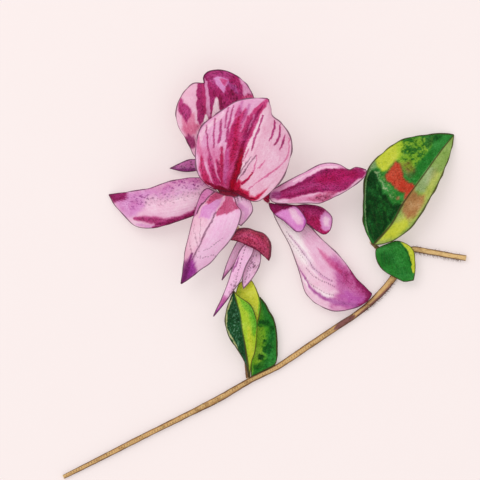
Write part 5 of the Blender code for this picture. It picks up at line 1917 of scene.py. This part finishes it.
LEAFLET_BROAD_PAINT: Marks = (
    Patch(Tint.BRIGHT_GREEN, ((-2.6, -20.6), (-0.2, -20.6), (0.4, -18), (0.6, -14.6), (1.2, -11.4),
        (-0.6, -10.6), (-2.6, -12.6)), soft=1, strength=0.95, cloud=0.15),
    # Painted light: the lime patch lightens the left strip, where the folded leaflet's shadow falls.
    Patch(Tint.LIME, ((-2.6, -20.2), (-0.9, -20.4), (-0.2, -17), (0.3, -13.4), (-0.4, -11.2),
        (-2.4, -11.6)), soft=1, strength=0.65, cloud=0.2),
    Patch(Tint.DARK_GREEN, ((-1.6, -11.4), (0.9, -11.6), (0.9, -10), (-1.2, -9.8)), soft=0.4, strength=0.9,
        cloud=0.6),
    Patch(Tint.DARK_GREEN, ((0.9, -10.8), (2.2, -11), (2.3, -14), (1.5, -14.6), (0.2, -13.2)), soft=0.5,
        strength=0.85, cloud=0.7),
    Patch(Tint.DARK_GREEN, ((-0.3, -14.2), (1.4, -14), (1.9, -16), (1, -17.6), (-0.5, -17)), soft=0.5,
        strength=0.85, cloud=0.8),
    Patch(Tint.DEEP_GREEN, ((-1.6, -17.4), (-0.2, -17.6), (-0.3, -18.8), (-1.5, -18.6)), soft=0.4,
        strength=0.85),
    Patch(Tint.DARK_GREEN, ((-2.6, -20), (-1.4, -19.4), (0.4, -18.6), (0.8, -20.5), (-2.4, -21)), soft=0.6,
        strength=0.75, cloud=0.4),
    Patch(Tint.DARK_GREEN, ((-0.9, -12), (1.6, -11.4), (1.8, -18.2), (-1, -18.8)), soft=0.9, strength=0.45,
        specks=0.9),
)


@dataclass(frozen=True)
class LowerLeaf:
    """The lower leaf's three leaflets."""

    folded: Blade = Leaflet(
        node="leaflet_folded", base=(-3.45, -22.9), tip=(-6.9, -3.4),
        left=((-4.3, -19.4), (-6.4, -15.8), (-7.6, -14.3), (-8.5, -12.1), (-8.8, -9.7), (-8.5, -7.6),
            (-7.7, -5.3)),
        right=((-3, -19.1), (-2.3, -17.1), (-1.8, -12.8), (-1.8, -10.3), (-2.4, -8.1), (-3.2, -6.6),
            (-4.4, -5.6), (-5.9, -4.6)),
        rib=((-3.9, -18.7), (-4.4, -15.4), (-5.1, -11.4), (-5.5, -8.4), (-6.3, -5.9)),
        heights=(2.05, 4.3, 4.7, 4.3, 3.5),
        left_rise=(0, -0.9, -1.1, -0.8, 0), right_rise=(0, -0.9, -1.1, -0.8, 0),
        # Painted light and shade of the fold: the left half is painted dark as shade, the right half light
        # as the side that faces the lamp.
        ground=Tint.BLUE_GREEN, right_ground=Tint.LIME,
        bend=1.3, seam=9, pepper=0.1, veins=SideVeins(spacing=1, relief=0.07, rib=0.16),
        marks=LEAFLET_FOLDED_PAINT,
    )
    yellow: Blade = Leaflet(
        node="leaflet_yellow", slot="yellow_leaflet", base=(-3.2, -19.2), tip=(-3.8, -0.9),
        left=((-5.1, -15.4), (-6.2, -9.9), (-6.6, -4.8), (-6, -2.4), (-5.1, -1.3)),
        right=((-2.4, -16.5), (-1.9, -12.1), (-1.1, -8.4), (-0.9, -6.4), (-1.8, -3.3), (-2.7, -1.4)),
        rib=((-3.7, -13), (-3.8, -6.5)),
        heights=(1.8, 1.85, 1.9, 1.95, 2),
        left_rise=(0, 0, 0, 0, 0), right_rise=(0, 0.1, 0.2, 0.1, 0),
        ground=Tint.YELLOW,
        pepper=0, veins=SideVeins(spacing=1.1, relief=0.05), marks=LEAFLET_YELLOW_PAINT,
    )
    broad: Blade = Leaflet(
        node="leaflet_broad", base=(-3.05, -22.6), tip=(-1.2, -4.8),
        left=((-3.1, -19.4), (-2.9, -15.4), (-2.8, -11), (-2.2, -7.3)),
        right=((-0.6, -21.32), (1.3, -20.36), (2.35, -19.6), (2.75, -18.4), (2.7, -16.6), (2.7, -14.4),
            (2.5, -11.7), (2, -9.7), (0.9, -7.9), (0, -6.2)),
        rib=((-1, -17.5), (-0.3, -12.5), (-0.6, -8)),
        heights=(0.8, 0.75, 0.75, 0.75, 0.8),
        left_rise=(0, 0, 0, 0, 0), right_rise=(0, 0.5, 1.2, 0.9, 0),
        ground=Tint.BRIGHT_GREEN, right_ground=Tint.GREEN,
        seam=1.1, pepper=0.08, veins=SideVeins(spacing=1, relief=0.07), marks=LEAFLET_BROAD_PAINT,
    )


LEAFLET_LARGE_PAINT: Marks = (
    Patch(Tint.GREY_GREEN, ((21, 20), (22.5, 22.6), (24.6, 23.8), (25.2, 24.8), (23.8, 26.4), (21.6, 24)),
        soft=1, strength=0.8, cloud=0.4),
    # Painted shade: the deep green patch darkens the left half, the shaded side of the fold.
    Patch(Tint.DEEP_GREEN, ((23.2, 23), (24.6, 23.2), (25.1, 21), (26.1, 18), (28.2, 15.6), (30.2, 15.3),
        (27.2, 10.6), (24.2, 7), (22.2, 10), (21.6, 13), (21.8, 18), (22.3, 22)), soft=1.2, strength=0.95),
    Patch(Tint.GREEN, ((22.6, 21.6), (24.4, 21), (26, 16.6), (28.6, 14.6), (25.8, 10.2), (23.6, 8.6),
        (22.6, 12.6), (22.2, 18)), soft=1, strength=0.32, cloud=0.9),
    Patch(Tint.GREEN, ((25, 21.2), (26.4, 17.8), (28.2, 15.9), (30.6, 16.2), (30, 18.4), (27.4, 20.2),
        (26.2, 21.8)), soft=1, strength=0.8, cloud=0.3),
    Patch(Tint.GREY_GREEN, ((24, 23.4), (25.4, 22.6), (27.2, 19.4), (29.2, 16.6), (28, 16.6), (25.4, 19.6)),
        soft=0.8, strength=0.75, specks=0.92),
    Stroke(Tint.GREY_GREEN, ((24.2, 22.8), (25.6, 20.6), (27, 18.2), (28.6, 16)), width=(0.3, 0.4, 0.3),
        strength=0.7, cloud=0.8),
    Stroke(Tint.PALE_GREEN, ((25.2, 23), (26.2, 20.8), (27.8, 18.8), (29.4, 17.2)), width=(0.2, 0.3, 0.2),
        strength=0.6, cloud=0.8),
    Stroke(Tint.GREEN, ((24.6, 20.4), (25.4, 17), (26.8, 13.6), (27.4, 11.6)), width=(0.3, 0.7, 0.4),
        strength=0.5, cloud=0.7, soft=0.8),
    Stroke(Tint.GREY_GREEN, ((23.3, 7.6), (22.3, 10.2), (21.95, 13.6), (22.1, 18.6), (22.4, 21.4),
        (23.4, 23.8)), width=(0.2, 0.25, 0.3, 0.35), strength=0.7),
    Patch(Tint.YELLOW, ((24, 25.4), (26.5, 27.7), (28.5, 29.1), (30.4, 29.2), (30.2, 27), (29.2, 25.5),
        (28, 24.5), (27, 23.1), (25.8, 22.8), (24.8, 24)), soft=1, strength=0.95),
    Patch(Tint.LIME, ((28.6, 29.6), (32.4, 30.2), (36.8, 30.4), (36.4, 27.6), (34, 25), (32.4, 22.6),
        (30.4, 22.8), (29.2, 25.4)), soft=1.2, strength=0.8),
    Patch(Tint.DARK_GREEN, ((30.2, 29.8), (31.8, 30.4), (36.6, 30.8), (36.2, 27.6), (33.6, 23.6),
        (29.8, 25.4)), soft=1, strength=0.75, cloud=0.9),
    Patch(Tint.DARK_GREEN, ((30.2, 29.4), (35.6, 30), (35.4, 26.6), (32.4, 24.6), (30, 25.4)), soft=1,
        strength=0.7, specks=0.88),
    Patch(Tint.GREEN, ((33.4, 21.6), (36.2, 25.2), (39.8, 29.8), (40.8, 31), (38, 30.2), (36, 27.2),
        (33, 23.6)), soft=1.2, strength=0.9),
    Patch(Tint.DEEP_GREEN, ((35.6, 28), (39.4, 30.8), (36, 30.8)), soft=0.9, strength=0.8, specks=0.5,
        cloud=0.4),
    Patch(Tint.RED, ((26.2, 21.6), (27, 22.8), (28, 24.2), (28.8, 25.2), (29.8, 24.4), (30, 22.9),
        (30.5, 21.8), (31, 20.9), (32, 20.1), (33.2, 19.6), (32.5, 18.6), (31, 16.8), (30.5, 17),
        (30.5, 18), (28.5, 19.2), (27.2, 20.5)), soft=0.8, strength=0.95),
    Patch(Tint.BROWN, ((29.7, 24.8), (31.6, 25.2), (33, 23.8), (33.2, 22.2), (31.8, 21.4), (30.6, 22.4)),
        soft=1.2, strength=0.7, cloud=0.5),
    Patch(Tint.BRICK, ((28.9, 17.5), (29.7, 17.3), (29.6, 16.5), (28.9, 16.7)), soft=0.5, strength=0.8),
    Patch(Tint.MOSS, ((24.6, 6.8), (29, 8.2), (33, 12), (36.6, 17.6), (39, 22.6), (37.4, 22.6), (33.4, 16),
        (28.6, 12)), soft=1.4, strength=0.8),
    Patch(Tint.YELLOW, ((25.6, 7.4), (29, 8.4), (31.6, 10.8), (31, 12.4), (28.6, 11.4), (26.4, 9.4)),
        soft=1.2, strength=0.8),
    Patch(Tint.BRICK, ((30.8, 16.8), (33, 18.8), (33.8, 17.6), (35.2, 17.2), (34.8, 15.3), (33.2, 13.2),
        (31.5, 12.1), (30.4, 13.8), (30.2, 15.6)), soft=1.3, strength=0.8),
    Patch(Tint.GREY_GREEN, ((33, 18.8), (35.2, 18.2), (36.4, 21), (37.6, 24.4), (36.4, 24), (33.8, 20.4)),
        soft=1, strength=0.9),
    Patch(Tint.OLIVE, ((35.6, 20), (37.4, 21.6), (38.8, 24.4), (37.6, 24.6)), soft=1.2, strength=0.5),
    Patch(Tint.PALE_GREEN, ((36.4, 24), (38.6, 23), (40.4, 26.4), (41.2, 29.6), (39.2, 27.6)), soft=1,
        strength=0.8),
)
LEAFLET_SMALL_PAINT: Marks = (
    Patch(Tint.DARK_GREEN, ((25.4, 4.8), (28.6, 4.8), (28.8, 2.4), (26, 2.2)), soft=1, strength=0.8,
        specks=0.5),
    Patch(Tint.DARK_GREEN, ((28.6, 1.6), (31.4, 1.8), (31.6, -0.6), (29, -0.4)), soft=0.9, strength=0.6,
        specks=0.5),
    Patch(Tint.YELLOW, ((29.6, 7.8), (31.3, 5.6), (32.2, 3), (32.5, 0.4), (33.8, 0.4), (33.8, 5.4),
        (32, 7.6)), soft=0.35, strength=0.95),
    Stroke(Tint.DARK_GREEN, ((30, 6.9), (31.35, 5), (32.15, 2.6), (32.35, 0.6)), width=(0.3, 0.35, 0.2),
        strength=0.8),
)


@dataclass(frozen=True)
class UpperLeaf:
    """The upper leaf's two leaflets."""

    large: Blade = Leaflet(
        node="leaflet_large", base=(23.7, 6.5), tip=(41.8, 31),
        left=((22, 9.8), (21.5, 12.6), (21.7, 18.3), (21.9, 21.2), (22.7, 23.5), (24.4, 25.7), (29, 29.3),
            (31.8, 30.4), (35.4, 30.9), (38.7, 31.2)),
        right=((26.6, 6.9), (29, 7.9), (31.8, 10), (34.2, 13.2), (37.8, 19.4), (39.6, 23.3), (40.9, 26.4)),
        rib=((27.7, 11), (30.6, 16.1), (35.4, 22.7), (38.9, 27.5)),
        heights=(2.4, 3.7, 3.9, 2.6, 0.2),
        left_rise=(0, 1.7, 2.3, 1.4, 0), right_rise=(0, 1, 1.5, 0.9, 0),
        # Painted light and shade of the fold: the left half is painted darker as shade, the right half paler
        # as the side that faces the lamp.
        ground=Tint.GREEN, right_ground=Tint.PALE_GREEN,
        bend=1.4, frill=0.2, seam=9, pepper=0.06,
        veins=SideVeins(spacing=1.7, width=0.24, relief=0.1, rib=0.19), marks=LEAFLET_LARGE_PAINT,
    )
    small: Blade = Leaflet(
        node="leaflet_small", base=(24.5, 5.8), tip=(32.8, -1.2),
        left=((26.8, 6.85), (29.2, 7.55), (31.6, 6.7), (32.8, 5.3), (33.1, 3.3), (33.1, 0.7)),
        right=((24.3, 4.6), (24.9, 2.6), (26.4, 0.7), (29, -0.7), (30.6, -1.5)),
        rib=((27.5, 3.8), (30.3, 1.2)),
        heights=(1.75, 2.3, 2.8, 2.7, 2.3),
        left_rise=(0, -0.2, -0.3, -0.2, 0), right_rise=(0, -0.3, -0.4, -0.3, 0),
        ground=Tint.GREEN,
        pepper=0.05, veins=SideVeins(spacing=1.1, relief=0.07), marks=LEAFLET_SMALL_PAINT,
    )


TWIG_PAINT: Marks = (
    Stroke(Tint.PALE_BARK, ((32.6, 5.5), (36.3, 5.2), (44.4, 3.8)), width=(1.6, 1.6), strength=0.85),
    # Painted light: narrow pale strips along the middle make the twig's top lighter, as its lit side.
    Stroke(Tint.PALE_BARK, ((-44.4, -44.4), (-36.1, -40.4), (-27.7, -36.1), (-16.5, -30.5), (-3.5, -23.4),
        (2.9, -20.2), (9.9, -15.5), (15.8, -11.5)), width=(0.5, 0.65), strength=0.6, steps=60),
    Stroke(Tint.PALE_BARK, ((19.6, -9), (23.5, -5.8), (26, -3), (28.2, -0.5)), width=(0.5, 0.6, 0.8),
        strength=0.6),
    Dots(Tint.DARK_BARK, ((-43.8, -44.2), (-36.1, -40.3), (-27.7, -36.1), (-16.5, -30.6), (-3.5, -23.4),
        (2.9, -20.2), (9.9, -15.6), (15.8, -11.6)), strength=0.85, size=0.2, count=110),
    Stroke(Tint.PURPLE_BROWN, ((15.4, -11.9), (17, -10.8), (18.2, -10), (19.8, -9)),
        width=(0.5, 1.5, 1.2, 0.4), strength=0.85),
    Stroke(Tint.PURPLE_BROWN, ((20.4, -9), (23.8, -6.4), (26.4, -4), (28.1, -2)),
        width=(0.3, 0.7, 0.8, 0.4), strength=0.85),
    Stroke(Tint.BROWN, ((-43, -44.5), (-27.4, -36.7), (-9.8, -27.8), (3.2, -20.8), (20.4, -9.2),
        (24.4, -6)), width=(0.3, 0.35), strength=0.55, steps=50),
)
FLOWER_STALK_PAINT: Marks = (
    Stroke(Tint.BROWN, ((-3.75, -22.8), (-3.9, -20.4), (-4.1, -18.4)), width=(1.6, 1.4, 0.4),
        strength=0.85),
)


@dataclass(frozen=True)
class Stems:
    """The zigzag twig, the leaf stalk and the flower stalk with its three branches."""

    twig: Stalk = Stalk(
        node="twig", slot="bark",
        route=((-44.5, -44.6, 0.42), (-36.1, -40.4, 0.51), (-27.7, -36.1, 0.55), (-16.5, -30.5, 0.58),
            (-10, -27.2, 0.62), (-3.5, -23.4, 0.68), (2.9, -20.2, 0.58), (9.9, -15.5, 0.6),
            (16.2, -11.3, 0.63), (20.4, -8.5, 0.63), (23.9, -5.6, 0.63), (28.2, -0.8, 0.63),
            (30.2, 2.9, 0.7), (32, 5.5, 0.7), (36.3, 5.1, 0.62), (40.7, 4.3, 0.59), (44.4, 3.7, 0.57)),
        radii=(0.46, 0.56, 0.6, 0.62, 0.72, 0.62, 0.66, 0.68, 0.66, 0.8, 0.64, 0.62),
        # The twig's lower side is painted dark bark as shade.
        ground=Tint.BARK, below=Tint.DARK_BARK,
        ridges=0.05, around=24, hairs=HairCoat(count=700, length=(0.35, 0.85), tint=Tint.BROWN),
        hair_side=-0.15, hair_from=0.72, marks=TWIG_PAINT,
    )
    leaf_stalk: Stalk = GreenStalk(
        node="leaf_stalk",
        route=((28.75, 2.9, 0.55), (27, 4.2, 0.5), (25.2, 5.6, 0.55), (24.1, 6.6, 0.85), (23.4, 7.3, 1.35)),
        radii=(0.55, 0.46, 0.44, 0.42),
        hairs=HairCoat(count=140, length=(0.2, 0.45)),
    )
    flower_stalk: Stalk = GreenStalk(
        node="flower_stalk",
        route=((-3.7, -22.85, 0.62), (-4.2, -16.5, 0.55), (-4, -10, 0.52), (-3.5, -4.4, 0.55),
            (-3.5, -1, 0.68), (-3, 2.2, 1.1), (-3.5, 5.1, 1.4), (-5.4, 7.6, 1.5), (-7.4, 9.8, 1.4),
            (-8.2, 13, 1.1), (-8, 16.3, 0.9), (-7.8, 17.8, 1.2)),
        radii=(0.52, 0.5, 0.5, 0.5, 0.5, 0.52, 0.5),
        hairs=HairCoat(count=700, length=(0.25, 0.5)), marks=FLOWER_STALK_PAINT,
    )
    branches: tuple[Stalk, ...] = (
        Branch(
            route=((-7.3, 9.6, 1.4), (-6.7, 10.3, 1.9), (-5.9, 10.3, 2.6)),
        ),
        Branch(
            route=((-8.1, 13.6, 1.1), (-5.6, 15.3, 1.5), (-3.3, 17.4, 2.4), (-1.2, 18.4, 3)),
            hairs=HairCoat(count=120, length=(0.2, 0.4)),
        ),
        Branch(
            route=((-8, 15.9, 1), (-9.9, 18.6, 0.9), (-11.4, 21.6, 0.8), (-11.8, 23.6, 1)),
            hairs=HairCoat(count=120, length=(0.2, 0.4)),
        ),
    )


@dataclass(frozen=True)
class Studio:
    """A pale floor, an even pale sky, one soft lamp and a camera that looks straight down.

    The view's middle, width and sharp height are in millimetres, and all other sizes in metres.
    """

    view_centre: Point = (-5.5, 7.7)
    field: float = 105.6
    sharp_height: float = 5.0
    distance: float = 1.5
    sensor: float = 36.0
    sky: float = 0.84
    lamp_power: float = 4.7
    lamp_size: float = 0.9
    lamp_place: Point = (-0.55, 0.65, 1.1)
    floor_half: float = 3.0
    floor_drop: float = 0.00002
    floor_pale: Point = (0.938, 0.836, 0.822, 1.0)
    floor_grain: Point = (0.9, 0.78, 0.76, 1.0)
    floor_share: float = 0.62
    floor_glow: float = 0.405

    def floor(self) -> None:
        """Lays the floor just below the sprig."""
        shape = bmesh.new()
        bmesh.ops.create_grid(shape, x_segments=2, y_segments=2, size=self.floor_half)
        for vertex in shape.verts:
            vertex.co.z = -self.floor_drop
        graph = Graph("floor_skin")
        grain = graph.noise(90.0, graph.place())
        colour = graph.blend(self.floor_pale, self.floor_grain, grain, (0.3, 0.7), (0.0, 0.04))
        skin = graph.finish(
            graph.shade(colour, (self.floor_share,) * 3),
            0.9,
            graph.bump(grain, 0.02),
            Specular_IOR_Level=0.0,
            Emission_Color=colour,
            Emission_Strength=self.floor_glow,
        )
        link_mesh("floor", shape, skin)

    def light(self) -> None:
        """Adds the sky and the lamp."""
        world = bpy.data.worlds.new("sky")
        world.use_nodes = True
        background = world.node_tree.nodes["Background"]
        background.inputs["Color"].default_value = (1.0, 1.0, 1.0, 1.0)
        background.inputs["Strength"].default_value = self.sky
        bpy.context.scene.world = world
        lamp = bpy.data.lights.new("soft_lamp", "AREA")
        lamp.shape = "DISK"
        lamp.size = self.lamp_size
        lamp.energy = self.lamp_power
        stand = bpy.data.objects.new("soft_lamp", lamp)
        bpy.context.scene.collection.objects.link(stand)
        stand.location = self.lamp_place
        stand.rotation_euler = Vector(stand.location).to_track_quat("Z", "Y").to_euler()

    def camera(self) -> None:
        """Adds the camera over the picture's centre."""
        camera = bpy.data.cameras.new("camera")
        camera.sensor_width = self.sensor
        camera.lens = self.sensor * self.distance / (self.field * MM)
        camera.clip_start = 0.1
        camera.clip_end = 20.0
        eye = bpy.data.objects.new("camera", camera)
        bpy.context.scene.collection.objects.link(eye)
        x, y = (self.view_centre[i] - PLAN_CENTRE[i] for i in (0, 1))
        eye.location = (x * MM, y * MM, self.distance + self.sharp_height * MM)
        bpy.context.scene.camera = eye
        bpy.context.scene.view_settings.view_transform = "Standard"

    def build(self) -> None:
        """Builds all of it."""
        self.floor()
        self.light()
        self.camera()


def main() -> None:
    """Builds every piece in order, from the twig to the open flower, and logs its count of points."""
    logging.basicConfig(level=logging.INFO, format="%(message)s")
    petal, leaf, calyx = PetalFinish().material(), LeafFinish().material(), CalyxFinish().material()
    bark = BarkFinish("bark_skin", fibres=0.8, pores=0.7, roughness=0.82).material()
    green = BarkFinish("stalk_skin", fibres=0.6, pores=0.25, roughness=0.7).material()
    stems, lower, upper, bud = Stems(), LowerLeaf(), UpperLeaf(), Bud()
    opened, back, side = OpenFlower(), BackFlower(), SideFlower()
    order = (
        (bark, (stems.twig,)),
        (green, (stems.leaf_stalk, stems.flower_stalk, *stems.branches)),
        (leaf, (lower.folded, lower.yellow, lower.broad, upper.large, upper.small)),
        (calyx, (bud.calyx,)),
        (petal, (bud.petal_left, bud.petal_middle, bud.petal_right)),
        (calyx, (opened.calyx, back.calyx, side.calyx)),
        (petal, (back.banner, back.wing, side.banner, side.wing, side.tongue, side.keel)),
        (petal, (opened.banner, opened.wing_left, opened.wing_right, opened.keel)),
    )
    for finish, parts in order:
        for part in parts:
            piece = part.build(finish)
            logging.info("%s: %d points", piece.name, len(piece.data.vertices))
    Studio().build()


if __name__ == "__main__":
    main()
